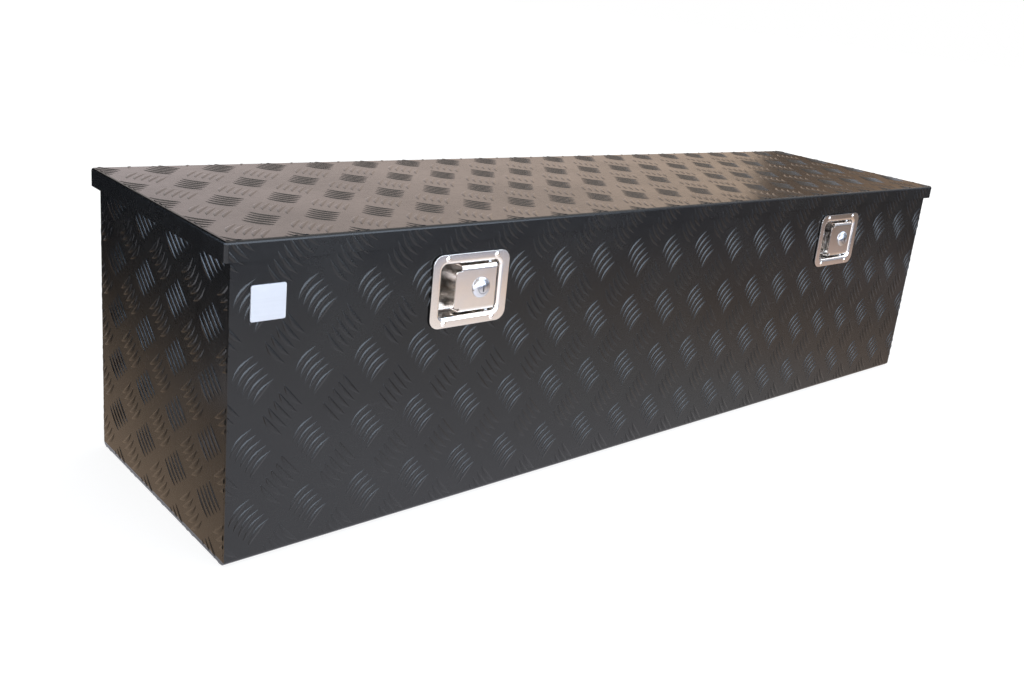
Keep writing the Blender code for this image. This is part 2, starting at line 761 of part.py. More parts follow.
def build_latch_gasket(side, place, drill):
    """Rubber ring between the flange and the wall."""
    width, height = cutout_size()
    margin = 2 * GASKET_MARGIN
    outer = rounded_rectangle(
        FLANGE_WIDTH - margin, FLANGE_HEIGHT - margin, FLANGE_CORNER, PAN_CORNER_STEPS
    )
    inner = rounded_rectangle(
        width + margin, height + margin, PAN_CORNER + PAN_SHEET + GASKET_MARGIN, PAN_CORNER_STEPS
    )
    mesh = ring_prism(outer, inner, place, -TOUCH - GASKET, -TOUCH)
    gasket = piece(f"latch_gasket_{side}", mesh, BLACK_RUBBER)
    shape_with(gasket, drill, "DIFFERENCE")


def build_rivets(side, centre_x):
    """Four domed rivets that hold the pan, each with its set tail inside the wall."""
    head = FLANGE_FRONT - TOUCH
    tail = SHEET + TOUCH
    profile = dome(RIVET_HEAD_RADIUS, RIVET_HEAD_HEIGHT, head, DOME_STEPS)
    profile += [
        (RIVET_RADIUS, head),
        (RIVET_RADIUS, tail),
        (RIVET_TAIL_RADIUS, tail),
        (RIVET_TAIL_RADIUS, tail + RIVET_TAIL_LENGTH),
        (0, tail + RIVET_TAIL_LENGTH),
    ]
    for number, (x, z) in enumerate(rivet_places(centre_x), 1):
        plane = shifted(along_y, Vector((x, FRONT_Y, z)))
        mesh = lathe(profile, RIVET_SIDES, plane)
        piece(f"latch_rivet_{side}_{number}", mesh, POLISHED_STEEL)


def build_paddle(side, place, axis):
    """Pull plate with bent cheeks that carry its pin, and the lever that draws the bolt."""
    half = PADDLE_HEIGHT / 2
    flat = half - PADDLE_BEND
    tip = -PADDLE_LEFT - PADDLE_TONGUE
    mesh = bmesh.new()
    outline = [(PADDLE_RIGHT, -flat), (PADDLE_RIGHT, flat), (-PADDLE_LEFT, flat)]
    outline += tongue_outline(tip, half - PADDLE_UPPER_NOTCH, PADDLE_LOWER_NOTCH - half)
    outline.append((-PADDLE_LEFT, -flat))
    plate = [mesh.verts.new(place(a, b, PADDLE_FRONT)) for a, b in outline]
    mesh.faces.new(plate)
    lever = (PADDLE_PIN_OFFSET - LEVER_WIDTH / 2, PADDLE_PIN_OFFSET + LEVER_WIDTH / 2)
    for up, row in ((1, [plate[2], plate[1]]), (-1, [plate[-1], plate[0]])):
        for step in range(1, BEND_STEPS + 1):
            turn = step / BEND_STEPS * math.pi / 2
            height = up * (flat + PADDLE_BEND * math.sin(turn))
            depth = PADDLE_FRONT + PADDLE_BEND * (1 - math.cos(turn))
            ahead = [mesh.verts.new(place(a, height, depth)) for a in (-PADDLE_LEFT, PADDLE_RIGHT)]
            mesh.faces.new((row[0], row[1], ahead[1], ahead[0]))
            row = ahead
        edge = [(PADDLE_RIGHT, PADDLE_CHEEK_DEPTH)]
        if up > 0:
            edge += [
                (lever[1], PADDLE_CHEEK_DEPTH),
                (lever[1], LEVER_TIP),
                (lever[0], LEVER_TIP),
                (lever[0], PADDLE_CHEEK_DEPTH),
            ]
        edge.append((-PADDLE_LEFT, PADDLE_CHEEK_DEPTH))
        mesh.faces.new(row + [mesh.verts.new(place(a, up * half, depth)) for a, depth in edge])
    close_up(mesh)
    face_towards(mesh, Vector((0, -1, 0)))
    paddle = piece(f"paddle_{side}", mesh, POLISHED_STEEL, axis)
    thicken(paddle, PADDLE_SHEET)
    mesh = bmesh.new()
    lock_hole = LOCK_BARREL_RADIUS + TOUCH
    ends = (PADDLE_FRONT - OVERRUN / 2, PADDLE_INSIDE + OVERRUN / 2)
    profile = [(0, ends[0]), (lock_hole, ends[0]), (lock_hole, ends[1]), (0, ends[1])]
    lathe(profile, LOCK_SIDES, lock_plane(place), mesh=mesh)
    pin_hole = PADDLE_PIN_RADIUS + PIN_PLAY
    reach = half + OVERRUN
    profile = [(0, -reach), (pin_hole, -reach), (pin_hole, reach), (0, reach)]
    lathe(profile, PIN_SIDES, upright_plane(place), mesh=mesh)
    shape_with(paddle, helper(f"paddle_{side}_cutter", mesh, axis), "DIFFERENCE")


def tongue_outline(tip, high, low):
    """Free left end of the paddle's plate, from its upper to its lower corner."""
    corner = PADDLE_TONGUE_CORNER
    points = [(-PADDLE_LEFT, high)]
    for centre_b, start in ((high - corner, math.pi / 2), (low + corner, math.pi)):
        for step in range(SMALL_CORNER_STEPS + 1):
            turn = start + step / SMALL_CORNER_STEPS * math.pi / 2
            across = tip + corner + corner * math.cos(turn)
            points.append((across, centre_b + corner * math.sin(turn)))
    return points + [(-PADDLE_LEFT, low)]


def lock_plane(place):
    """Plane across the key lock, with the lock's axis at zero."""
    return lambda a, b, c: place(LOCK_OFFSET + a, b, c)


def build_paddle_pin(side, place):
    """Upright pin through the pan's walls and the paddle's cheeks, headed at both ends."""
    neck = PAN_HEIGHT / 2 + PAN_SHEET + TOUCH
    end = neck + PADDLE_PIN_HEAD
    profile = [
        (0, -end),
        (PADDLE_PIN_HEAD_RADIUS, -end),
        (PADDLE_PIN_HEAD_RADIUS, -neck),
        (PADDLE_PIN_RADIUS, -neck),
        (PADDLE_PIN_RADIUS, neck),
        (PADDLE_PIN_HEAD_RADIUS, neck),
        (PADDLE_PIN_HEAD_RADIUS, end),
        (0, end),
    ]
    piece(f"paddle_pin_{side}", lathe(profile, PIN_SIDES, upright_plane(place)), PLATED_STEEL)


def coil_points(radius, start, end, turns, first_turn, plane):
    """Points of a coil about an axis, from start to end along it."""
    count = round(turns * COIL_POINTS_PER_TURN)
    points = []
    for step in range(count + 1):
        turn = first_turn + 2 * math.pi * turns * step / count
        along = start + (end - start) * step / count
        points.append(plane(radius * math.cos(turn), radius * math.sin(turn), along))
    return points


def build_paddle_spring(side, place, axis):
    """Torsion spring: one leg bears on the paddle's plate, the other on the pan's floor."""
    wire = PADDLE_SPRING_WIRE / 2
    cheek = PADDLE_HEIGHT / 2 - PADDLE_SHEET
    low = -cheek + 2 * wire
    high = low + PADDLE_SPRING_HEIGHT
    upright = upright_plane(place)
    coil = coil_points(
        PADDLE_SPRING_RADIUS, high, low, PADDLE_SPRING_TURNS, -math.pi / 2, upright
    )
    near = place(
        PADDLE_PIN_OFFSET - PADDLE_SPRING_LEG, high, PADDLE_INSIDE + wire + TOUCH
    )
    far = place(
        PADDLE_PIN_OFFSET - PADDLE_SPRING_LEG, low, FLANGE_FRONT + PAN_DEPTH - wire - TOUCH
    )
    mesh = tube([near] + coil + [far], wire, WIRE_SIDES)
    piece(f"paddle_spring_{side}", mesh, PLATED_STEEL, axis)


def build_lock(side, place, axis, key_axis):
    """Barrel fixed in the paddle, and the plug, cam and nut that the key turns."""
    plane = lock_plane(place)
    bore = LOCK_PLUG_RADIUS + TOUCH
    edge = PADDLE_FRONT - TOUCH
    crown = LOCK_BEZEL_RADIUS - bore
    steps = 2 * DOME_STEPS
    profile = [(bore, BEZEL_TOP)]
    for step in range(1, steps + 1):
        turn = step / steps * math.pi / 2
        profile.append((bore + crown * math.sin(turn), edge - LOCK_BEZEL_HEIGHT * math.cos(turn)))
    profile += [
        (LOCK_BARREL_RADIUS, edge),
        (LOCK_BARREL_RADIUS, LOCK_BARREL_DEPTH),
        (bore, LOCK_BARREL_DEPTH),
    ]
    barrel = lathe(profile, LOCK_SIDES, plane, ring=True)
    piece(f"lock_barrel_{side}", barrel, POLISHED_STEEL, axis)
    face = BEZEL_TOP + LOCK_PLUG_SUNK
    shoulder = LOCK_BARREL_DEPTH + TOUCH
    end = NUT_FRONT + NUT_THICKNESS
    profile = [
        (0, face),
        (LOCK_PLUG_RADIUS - LOCK_PLUG_CHAMFER, face),
        (LOCK_PLUG_RADIUS, face + LOCK_PLUG_CHAMFER),
        (LOCK_PLUG_RADIUS, shoulder),
        (LOCK_STUD_RADIUS, shoulder),
        (LOCK_STUD_RADIUS, end),
        (0, end),
    ]
    mesh = lathe(profile, LOCK_SIDES, plane)
    plug = piece(f"key_plug_{side}", mesh, POLISHED_STEEL, key_axis)
    keyway = rounded_rectangle(KEYWAY_WIDTH, KEYWAY_HEIGHT, KEYWAY_WIDTH / 3, 1)
    mesh = prism(keyway, plane, face - OVERRUN / 2, face + KEYWAY_DEPTH)
    shape_with(plug, helper(f"key_plug_{side}_cutter", mesh, key_axis), "DIFFERENCE")
    reach = CAM_LENGTH - CAM_TIP_RADIUS
    steps = 2 * SMALL_CORNER_STEPS
    outline = []
    for centre, radius, first in ((0, CAM_HUB_RADIUS, 0), (-reach, CAM_TIP_RADIUS, math.pi)):
        turns = [first + math.pi * step / steps for step in range(steps + 1)]
        outline += [(radius * math.cos(t), centre + radius * math.sin(t)) for t in turns]
    mesh = prism(outline, plane, CAM_FRONT, CAM_FRONT + CAM_THICKNESS)
    cam = piece(f"lock_cam_{side}", mesh, PLATED_STEEL, key_axis)
    hole = LOCK_STUD_RADIUS + TOUCH
    ends = (CAM_FRONT - OVERRUN / 4, CAM_FRONT + CAM_THICKNESS + OVERRUN / 4)
    profile = [(0, ends[0]), (hole, ends[0]), (hole, ends[1]), (0, ends[1])]
    mesh = lathe(profile, LOCK_SIDES, plane)
    shape_with(cam, helper(f"lock_cam_{side}_cutter", mesh, key_axis), "DIFFERENCE")
    thread = (LOCK_STUD_RADIUS + TOUCH) / math.cos(math.pi / NUT_SIDES)
    profile = [(thread, NUT_FRONT), (NUT_RADIUS, NUT_FRONT), (NUT_RADIUS, end), (thread, end)]
    piece(f"cam_nut_{side}", lathe(profile, NUT_SIDES, plane, ring=True), PLATED_STEEL, key_axis)


def build_bolt(side, place, bolt_axis):
    """Sliding bolt, its spring, and the closed channel behind the pan that guides it."""
    half = BOLT_HEIGHT / 2
    low = BOLT_UP - half
    high = BOLT_UP + half
    outline = [
        (BOLT_TAIL, low),
        (BOLT_NOSE, low),
        (BOLT_NOSE, high - BOLT_SLOPE_DROP),
        (BOLT_NOSE - BOLT_SLOPE, high),
        (BOLT_TAIL, high),
    ]
    mesh = prism(outline, place, BOLT_FRONT, BOLT_BACK)
    bolt = piece(f"bolt_{side}", mesh, PLATED_STEEL, bolt_axis)
    slot_low = BOLT_UP - PADDLE_SHEET / 2 - LEVER_PLAY
    slot_high = BOLT_UP + PADDLE_SHEET / 2 + LEVER_PLAY
    left = PADDLE_PIN_OFFSET - BOLT_POCKET_LEFT
    right = PADDLE_PIN_OFFSET + BOLT_POCKET_RIGHT
    outline = [(left, slot_low), (right, slot_low), (right, slot_high), (left, slot_high)]
    mesh = prism(outline, place, BOLT_FRONT - OVERRUN / 2, BOLT_BACK - BOLT_POCKET_WALL)
    shape_with(bolt, helper(f"bolt_{side}_cutter", mesh, bolt_axis), "DIFFERENCE")

    play = BOLT_PLAY + GUIDE_SHEET
    outline = [
        (-GUIDE_LEFT, low - play),
        (GUIDE_RIGHT, low - play),
        (GUIDE_RIGHT, high + play),
        (-GUIDE_LEFT, high + play),
    ]
    guide_back = BOLT_BACK + play
    mesh = prism(outline, place, GUIDE_FRONT, guide_back)
    guide = piece(f"bolt_guide_{side}", mesh, PLATED_STEEL)
    inside = -GUIDE_LEFT + GUIDE_SHEET
    outline = [
        (inside, low - BOLT_PLAY),
        (GUIDE_RIGHT + OVERRUN, low - BOLT_PLAY),
        (GUIDE_RIGHT + OVERRUN, high + BOLT_PLAY),
        (inside, high + BOLT_PLAY),
    ]
    mesh = prism(outline, place, BOLT_FRONT - BOLT_PLAY, BOLT_BACK + BOLT_PLAY)
    shape_with(guide, helper(f"bolt_guide_{side}_cutter", mesh), "DIFFERENCE")
    mesh = bmesh.new()
    lever_slot(place, GUIDE_FRONT, GUIDE_FRONT + GUIDE_SHEET, mesh)
    shape_with(guide, helper(f"bolt_guide_{side}_slot_cutter", mesh), "DIFFERENCE")

    wire = BOLT_SPRING_WIRE / 2
    middle = (BOLT_FRONT + BOLT_BACK) / 2
    plane = shifted(along_x, place(0, BOLT_UP, middle))
    coil = coil_points(
        BOLT_SPRING_RADIUS,
        inside + wire + TOUCH,
        BOLT_TAIL - wire - TOUCH,
        BOLT_SPRING_TURNS,
        0,
        plane,
    )
    piece(f"bolt_spring_{side}", tube(coil, wire, WIRE_SIDES), PLATED_STEEL)


def build_striker(side, place, lid_axis):
    """Strap that hangs from the lid, with a hook that passes under the bolt."""
    bolt_low = BOLT_UP - BOLT_HEIGHT / 2
    hook_top = bolt_low - STRIKER_HOOK_PLAY
    hook_low = hook_top - STRIKER_HOOK_HEIGHT
    strap_front = BOLT_BACK + STRIKER_BACK_PLAY
    strap_back = strap_front + STRIKER_STRAP
    hook_front = BOLT_FRONT - STRIKER_HOOK_LIP
    top = LID_UNDER_Z - TOUCH - LATCH_Z
    flat = top - STRIKER_BEND
    skin = STRIKER_OFFSET
    outline = [
        (hook_front, hook_low),
        (strap_back, hook_low),
        (strap_back, flat),
        (strap_front, flat),
        (strap_front, hook_top),
        (hook_front, hook_top),
    ]
    mesh = bmesh.new()
    strap = [mesh.verts.new(place(skin, b, a)) for a, b in outline]
    mesh.faces.new(strap)
    row = [strap[2], strap[3]]
    for step in range(1, STRIKER_BEND_STEPS + 1):
        turn = step / STRIKER_BEND_STEPS * math.pi / 2
        across = skin + STRIKER_BEND * (1 - math.cos(turn))
        up = flat + STRIKER_BEND * math.sin(turn)
        ahead = [mesh.verts.new(place(across, up, d)) for d in (strap_back, strap_front)]
        mesh.faces.new((row[0], row[1], ahead[1], ahead[0]))
        row = ahead
    ahead = [mesh.verts.new(place(skin + STRIKER_FOOT, top, d)) for d in (strap_back, strap_front)]
    mesh.faces.new((row[0], row[1], ahead[1], ahead[0]))
    close_up(mesh)
    face_towards(mesh, Vector((-1, 0, 0)))
    thicken(piece(f"striker_{side}", mesh, PLATED_STEEL, lid_axis), STRIKER_SHEET)


def build_latch(side, centre_x, drill, lid_axis):
    """One latch with all that it holds, and the lid's hook that it catches."""
    centre = Vector((centre_x, FRONT_Y, LATCH_Z))

    def place(across, up, depth):
        return centre + Vector((across, depth, up))

    paddle_axis = empty_at(
        f"paddle_axis_{side}", place(PADDLE_PIN_OFFSET, 0, PADDLE_PIN_DEPTH)
    )
    key_axis = empty_at(f"key_axis_{side}", place(LOCK_OFFSET, 0, PADDLE_FRONT))
    middle = (BOLT_FRONT + BOLT_BACK) / 2
    bolt_axis = empty_at(f"bolt_axis_{side}", place(PADDLE_PIN_OFFSET, BOLT_UP, middle))
    build_latch_pan(side, place, drill)
    build_latch_gasket(side, place, drill)
    build_rivets(side, centre_x)
    build_paddle(side, place, paddle_axis)
    build_paddle_pin(side, place)
    build_paddle_spring(side, place, paddle_axis)
    build_lock(side, place, paddle_axis, key_axis)
    build_bolt(side, place, bolt_axis)
    build_striker(side, place, lid_axis)


def ball_profile(start, sign):
    """Ball stud from a boss outwards; sign gives the way along the axis."""
    ball = start + sign * (STUD_NECK + BALL_RADIUS)
    first = math.asin(BALL_NECK_RADIUS / BALL_RADIUS)
    profile = [(BALL_NECK_RADIUS, start)]
    for step in range(BALL_STEPS + 1):
        turn = first + (math.pi - first) * step / BALL_STEPS
        radius = BALL_RADIUS * math.sin(turn) if step < BALL_STEPS else 0
        profile.append((radius, ball - sign * BALL_RADIUS * math.cos(turn)))
    return profile


def strut_geometry():
    """Both ball centres of a strut at rest in Y and Z, its length and its lean about X."""
    foot = Vector((HINGE_Y - STRUT_FOOT_FRONT, HINGE_Z - STRUT_FOOT_DROP))
    head = Vector((HINGE_Y - STRUT_HEAD_FRONT, HINGE_Z + STRUT_HEAD_RISE))
    reach = head - foot
    return foot, head, reach.length, math.atan2(-reach.x, reach.y)


def build_strut(side, sign, lid_axis):
    """Gas strut between a ball stud on the end panel and a bracket under the lid."""
    foot, head, length, lean = strut_geometry()
    centre_x = sign * (END_X - STRUT_INSET)
    axis = empty_at(f"strut_axis_{side}", Vector((centre_x, foot.x, foot.y)), lean)

    tube_start = SOCKET_NECK_LENGTH + TOUCH
    tube_end = tube_start + STRUT_TUBE_LENGTH
    bore = STRUT_TUBE_RADIUS - STRUT_TUBE_WALL
    guide = STRUT_ROD_RADIUS + STRUT_ROD_PLAY
    chamber_start = tube_start + STRUT_TUBE_WALL
    chamber_end = tube_end - STRUT_GUIDE_LENGTH
    profile = [
        (0, tube_start),
        (STRUT_TUBE_RADIUS - STRUT_TUBE_ROUND, tube_start),
        (STRUT_TUBE_RADIUS, tube_start + STRUT_TUBE_ROUND),
        (STRUT_TUBE_RADIUS, tube_end - STRUT_TUBE_ROUND),
        (STRUT_TUBE_RADIUS - STRUT_TUBE_ROUND, tube_end),
        (guide, tube_end),
        (guide, chamber_end),
        (bore, chamber_end),
        (bore, chamber_start),
        (0, chamber_start),
    ]
    mesh = lathe(profile, STRUT_SIDES, along_z)
    piece(f"strut_cylinder_{side}", mesh, BLACK_STEEL, axis, local=True)

    piston = chamber_start + STRUT_PISTON_PLAY
    rod_end = length - SOCKET_NECK_LENGTH - TOUCH
    profile = [
        (0, piston),
        (bore - STRUT_PISTON_PLAY, piston),
        (bore - STRUT_PISTON_PLAY, piston + STRUT_PISTON_LENGTH),
        (STRUT_ROD_RADIUS, piston + STRUT_PISTON_LENGTH),
        (STRUT_ROD_RADIUS, rod_end),
        (0, rod_end),
    ]
    mesh = lathe(profile, STRUT_SIDES, along_z)
    piece(f"strut_rod_{side}", mesh, PLATED_STEEL, axis, local=True)

    build_socket(f"strut_socket_lower_{side}", 0, 1, axis, sign)
    build_socket(f"strut_socket_upper_{side}", length, -1, axis, sign)
    build_body_stud(side, sign, centre_x, foot)
    build_lid_bracket(side, sign, centre_x, head, lid_axis)


def build_socket(name, middle, towards, axis, sign):
    """End fitting of a strut: a cup across the strut and a neck along it."""
    half = SOCKET_WIDTH / 2
    plane = shifted(along_x, Vector((0, 0, middle)))
    profile = [(0, -half), (SOCKET_RADIUS, -half), (SOCKET_RADIUS, half), (0, half)]
    cup = piece(name, lathe(profile, SOCKET_SIDES, plane), BLACK_PLASTIC, axis, local=True)
    start = middle + towards * SOCKET_RADIUS / 2
    end = middle + towards * SOCKET_NECK_LENGTH
    profile = [(0, start), (SOCKET_NECK_RADIUS, start), (SOCKET_NECK_RADIUS, end), (0, end)]
    mesh = lathe(profile, SOCKET_SIDES, along_z)
    shape_with(cup, helper(name + "_neck", mesh, axis, local=True), "UNION")
    if towards > 0:
        recess = BALL_RADIUS + BALL_PLAY
        floor = half - 2 * recess
        profile = [
            (0, sign * floor),
            (recess, sign * floor),
            (recess, sign * (half + OVERRUN)),
            (0, sign * (half + OVERRUN)),
        ]
        mesh = lathe(profile, SOCKET_SIDES, plane)
        shape_with(cup, helper(name + "_recess_cutter", mesh, axis, local=True), "DIFFERENCE")


def build_body_stud(side, sign, centre_x, foot):
    """Plate on the end panel with the ball stud that the strut's foot turns on."""
    plane = shifted(along_x, Vector((0, foot.x, foot.y)))
    wall = sign * (END_X - SHEET - TOUCH)
    plate_face = wall - sign * STUD_PLATE
    socket_face = centre_x + sign * SOCKET_WIDTH / 2
    ball_start = socket_face - sign * (BALL_RADIUS + BALL_PLAY - STUD_NECK - BALL_RADIUS)
    outline = rounded_rectangle(
        STUD_PLATE_WIDTH, STUD_PLATE_HEIGHT, STUD_PLATE_CORNER, SMALL_CORNER_STEPS
    )
    stud = piece(f"strut_stud_body_{side}", prism(outline, plane, wall, plate_face), PLATED_STEEL)
    inside = (wall + plate_face) / 2
    profile = [(0, inside), (STUD_BOSS_RADIUS, inside), (STUD_BOSS_RADIUS, ball_start)]
    profile += ball_profile(ball_start, -sign)
    mesh = lathe(profile, SOCKET_SIDES, plane)
    shape_with(stud, helper(f"strut_stud_body_{side}_ball", mesh), "UNION")


def build_lid_bracket(side, sign, centre_x, head, lid_axis):
    """Angle under the lid with a neck that ends at the face of the strut's upper socket."""
    socket_face = centre_x + sign * SOCKET_WIDTH / 2
    skin = socket_face + sign * (TOUCH + STUD_NECK + LID_BRACKET_SHEET)
    top = LID_UNDER_Z - TOUCH
    flat = top - LID_BRACKET_BEND
    half = LID_BRACKET_WIDTH / 2
    low = head.y - LID_BRACKET_BELOW
    edges = (head.x - half, head.x + half)
    mesh = bmesh.new()
    rows = [[(skin, low), (skin, flat)][i] for i in range(2)]
    for step in range(1, STRIKER_BEND_STEPS + 1):
        turn = step / STRIKER_BEND_STEPS * math.pi / 2
        across = skin - sign * LID_BRACKET_BEND * (1 - math.cos(turn))
        rows.append((across, flat + LID_BRACKET_BEND * math.sin(turn)))
    rows.append((skin - sign * LID_BRACKET_FOOT, top))
    strips = [[mesh.verts.new(Vector((x, y, z))) for y in edges] for x, z in rows]
    for near, far in zip(strips, strips[1:]):
        mesh.faces.new((near[0], near[1], far[1], far[0]))
    close_up(mesh)
    face_towards(mesh, Vector((sign, 0, 0)))
    bracket = piece(f"strut_bracket_lid_{side}", mesh, PLATED_STEEL, lid_axis)
    thicken(bracket, LID_BRACKET_SHEET)
    inside = skin - sign * LID_BRACKET_SHEET / 2
    end = socket_face + sign * TOUCH
    plane = shifted(along_x, Vector((0, head.x, head.y)))
    profile = [(0, inside), (BALL_NECK_RADIUS, inside), (BALL_NECK_RADIUS, end), (0, end)]
    mesh = lathe(profile, SOCKET_SIDES, plane)
    shape_with(bracket, helper(f"strut_bracket_lid_{side}_neck", mesh, lid_axis), "UNION")


def even_shading():
    """Shades flat faces flat where they meet rounded folds."""
    for made in bpy.data.objects:
        if made.type == "MESH" and not made.hide_render:
            shading = made.modifiers.new("shading", "WEIGHTED_NORMAL")
            shading.keep_sharp = True


def main():
    """Clears the scene and builds every piece."""
    for old in list(bpy.data.objects):
        bpy.data.objects.remove(old)
    lid_axis = empty_at("lid_axis", Vector((0, HINGE_Y, HINGE_Z)))
    drill = build_rivet_drill()
    build_body_wrap(drill)
    build_end_panel("end_panel_left", -1)
    build_end_panel("end_panel_right", 1)
    build_rim_seal()
    build_badge()
    build_lid_shell(lid_axis)
    striker_end = LATCH_LEFT_INSET + STRIKER_OFFSET + STRIKER_FOOT - END_X
    stiffener_half = STIFFENER_CROWN / 2 + STIFFENER_BRIM
    stiffener_x = -(striker_end + STIFFENER_STRIKER_GAP + stiffener_half)
    build_lid_stiffener("lid_stiffener_left", -stiffener_x, lid_axis)
    build_lid_stiffener("lid_stiffener_right", stiffener_x, lid_axis)
    build_hinge(lid_axis)
    for side, centre_x in latches():
        build_latch(side, centre_x, drill, lid_axis)
    build_strut("left", -1, lid_axis)
    build_strut("right", 1, lid_axis)
    even_shading()


main()
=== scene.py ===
"""Looks of a tread-plate trailer tongue box: satin black coat, steel paddle latches, gas struts.

Metres, +Z up, the latched front faces -Y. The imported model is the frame. Parts of it that carry
fine detail are replaced by finer pieces here, and the tread bars are laid on its sheets.
"""

import json
import logging
import math
from dataclasses import dataclass, field
from enum import Enum

import bmesh
import bpy
from mathutils import Matrix, Vector

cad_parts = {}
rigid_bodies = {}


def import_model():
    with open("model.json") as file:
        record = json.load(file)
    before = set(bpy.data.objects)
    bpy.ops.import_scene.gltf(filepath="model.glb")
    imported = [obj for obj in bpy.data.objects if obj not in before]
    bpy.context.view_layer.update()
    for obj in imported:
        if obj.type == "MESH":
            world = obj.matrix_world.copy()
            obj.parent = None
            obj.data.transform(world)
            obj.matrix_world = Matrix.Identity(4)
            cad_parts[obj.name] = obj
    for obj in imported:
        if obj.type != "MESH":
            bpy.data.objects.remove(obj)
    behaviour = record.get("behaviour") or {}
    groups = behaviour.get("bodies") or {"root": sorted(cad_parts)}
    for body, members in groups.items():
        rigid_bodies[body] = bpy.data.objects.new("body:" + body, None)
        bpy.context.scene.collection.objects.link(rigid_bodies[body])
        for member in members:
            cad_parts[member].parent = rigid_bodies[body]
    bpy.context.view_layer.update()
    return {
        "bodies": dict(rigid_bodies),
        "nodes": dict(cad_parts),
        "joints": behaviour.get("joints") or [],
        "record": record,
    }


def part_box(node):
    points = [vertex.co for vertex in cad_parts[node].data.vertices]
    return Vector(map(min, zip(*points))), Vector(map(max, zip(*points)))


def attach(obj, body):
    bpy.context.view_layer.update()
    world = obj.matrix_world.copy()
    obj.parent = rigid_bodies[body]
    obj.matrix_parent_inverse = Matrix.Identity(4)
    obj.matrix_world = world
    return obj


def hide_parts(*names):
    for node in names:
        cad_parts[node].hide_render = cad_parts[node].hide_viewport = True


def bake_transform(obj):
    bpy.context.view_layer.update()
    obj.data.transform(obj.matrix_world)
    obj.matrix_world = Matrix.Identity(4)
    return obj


MM = 0.001
LOG = logging.getLogger("tongue_box")

# Places of the closed box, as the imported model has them
END_X = 610 * MM
FRONT_Y = -152.95 * MM
BACK_Y = 153.05 * MM
BODY_FOLD = 5 * MM
LATCH_X = (-345 * MM, 359 * MM)
LATCH_Z = 247.5 * MM
LID_END_X = 618 * MM
LID_FRONT_Y = -159.95 * MM
LID_BACK_Y = 158.15 * MM
LID_TOP_Z = 321 * MM
LID_FOLD = 3 * MM
LIP_Z = 301.5 * MM

# Closeness that counts as the same place, and that makes two points one
SAME = 1e-6
MERGE = 1e-7

Triple = tuple[float, float, float]


class Face(Enum):
    """Outer faces of the box that carry tread bars."""

    FRONT = "front"
    BACK = "back"
    UNDERSIDE = "underside"
    LEFT_END = "left_end"
    RIGHT_END = "right_end"
    TOP = "top"
    LIP_FRONT = "lip_front"


class Side(Enum):
    """The two ends of the box, as seen from the front."""

    LEFT = "left"
    RIGHT = "right"


# ---------------------------------------------------------------------------------------------
# Shading
# ---------------------------------------------------------------------------------------------


class NodeBench:
    """Short ways to place and join the nodes of one tree."""

    def __init__(self, tree: bpy.types.NodeTree) -> None:
        """Takes the tree to work on."""
        self.tree = tree

    def feed(self, socket: bpy.types.NodeSocket, value: object) -> None:
        """Gives an input socket a plain value, or links it to an output.

        Args:
            socket: the input.
            value: the value, or the output socket.
        """
        if isinstance(value, bpy.types.NodeSocket):
            self.tree.links.new(value, socket)
        else:
            socket.default_value = value

    def add(self, kind: str, inputs: dict | None = None, **settings: object) -> bpy.types.Node:
        """Adds a node.

        Args:
            kind: Blender's name of the node type.
            inputs: value or output socket for each input, by the input's name or number.
            settings: properties of the node.

        Returns:
            The new node.
        """
        node = self.tree.nodes.new(kind)
        for name, value in settings.items():
            setattr(node, name, value)
        for name, value in (inputs or {}).items():
            self.feed(node.inputs[name], value)
        return node

    def object_place(self) -> bpy.types.NodeSocket:
        """Gives the position in Object coordinates."""
        return self.add("ShaderNodeTexCoord").outputs["Object"]

    def math(self, operation: str, a: object, b: object = 0.0) -> bpy.types.NodeSocket:
        """Adds a Math node on two values and returns its result."""
        return self.add("ShaderNodeMath", {0: a, 1: b}, operation=operation).outputs[0]

    def weighted(
        self, start: object, masks: tuple[tuple[bpy.types.NodeSocket, float], ...]
    ) -> bpy.types.NodeSocket:
        """Adds masks, each times its weight, to a value.

        Args:
            start: the value.
            masks: each mask with its weight.

        Returns:
            The sum.
        """
        total = start
        for mask, weight in masks:
            total = self.math("ADD", total, self.math("MULTIPLY", mask, weight))
        return total

    def ramp(
        self, value: object, low: float, high: float, course: str = "SMOOTHSTEP"
    ) -> bpy.types.NodeSocket:
        """Stretches the part of a value between low and high over 0 to 1.

        Args:
            value: the value.
            low: where the result is 0.
            high: where the result is 1.
            course: how it runs between them, as the Map Range node names it.

        Returns:
            The stretched value.
        """
        given = {"Value": value, "From Min": low, "From Max": high}
        node = self.add("ShaderNodeMapRange", given, interpolation_type=course)
        return node.outputs["Result"]

    def blend(self, factor: object, first: object, second: object) -> bpy.types.NodeSocket:
        """Mixes two colours.

        Args:
            factor: share of the second colour.
            first: colour at 0.
            second: colour at 1.

        Returns:
            The mixed colour.
        """
        node = self.add("ShaderNodeMix", {"Factor": factor}, data_type="RGBA")
        self.feed(node.inputs[6], first)
        self.feed(node.inputs[7], second)
        return node.outputs[2]

    def gradient(
        self, value: object, stops: tuple[tuple[float, Triple], ...]
    ) -> bpy.types.NodeSocket:
        """Turns a value from 0 to 1 into a colour.

        Args:
            value: the value.
            stops: place and colour of each stop, first the two that a new ramp has already.

        Returns:
            The colour.
        """
        node = self.add("ShaderNodeValToRGB", {"Fac": value})
        elements = node.color_ramp.elements
        for number, (place, colour) in enumerate(stops):
            element = elements[number] if number < 2 else elements.new(place)
            element.position = place
            element.color = (*colour, 1)
        return node.outputs["Color"]

    def noise(self, where: object, scale: object, detail: float) -> bpy.types.NodeSocket:
        """Adds noise over a position and returns its value."""
        given = {"Vector": where, "Scale": scale, "Detail": detail}
        return self.add("ShaderNodeTexNoise", given).outputs[0]


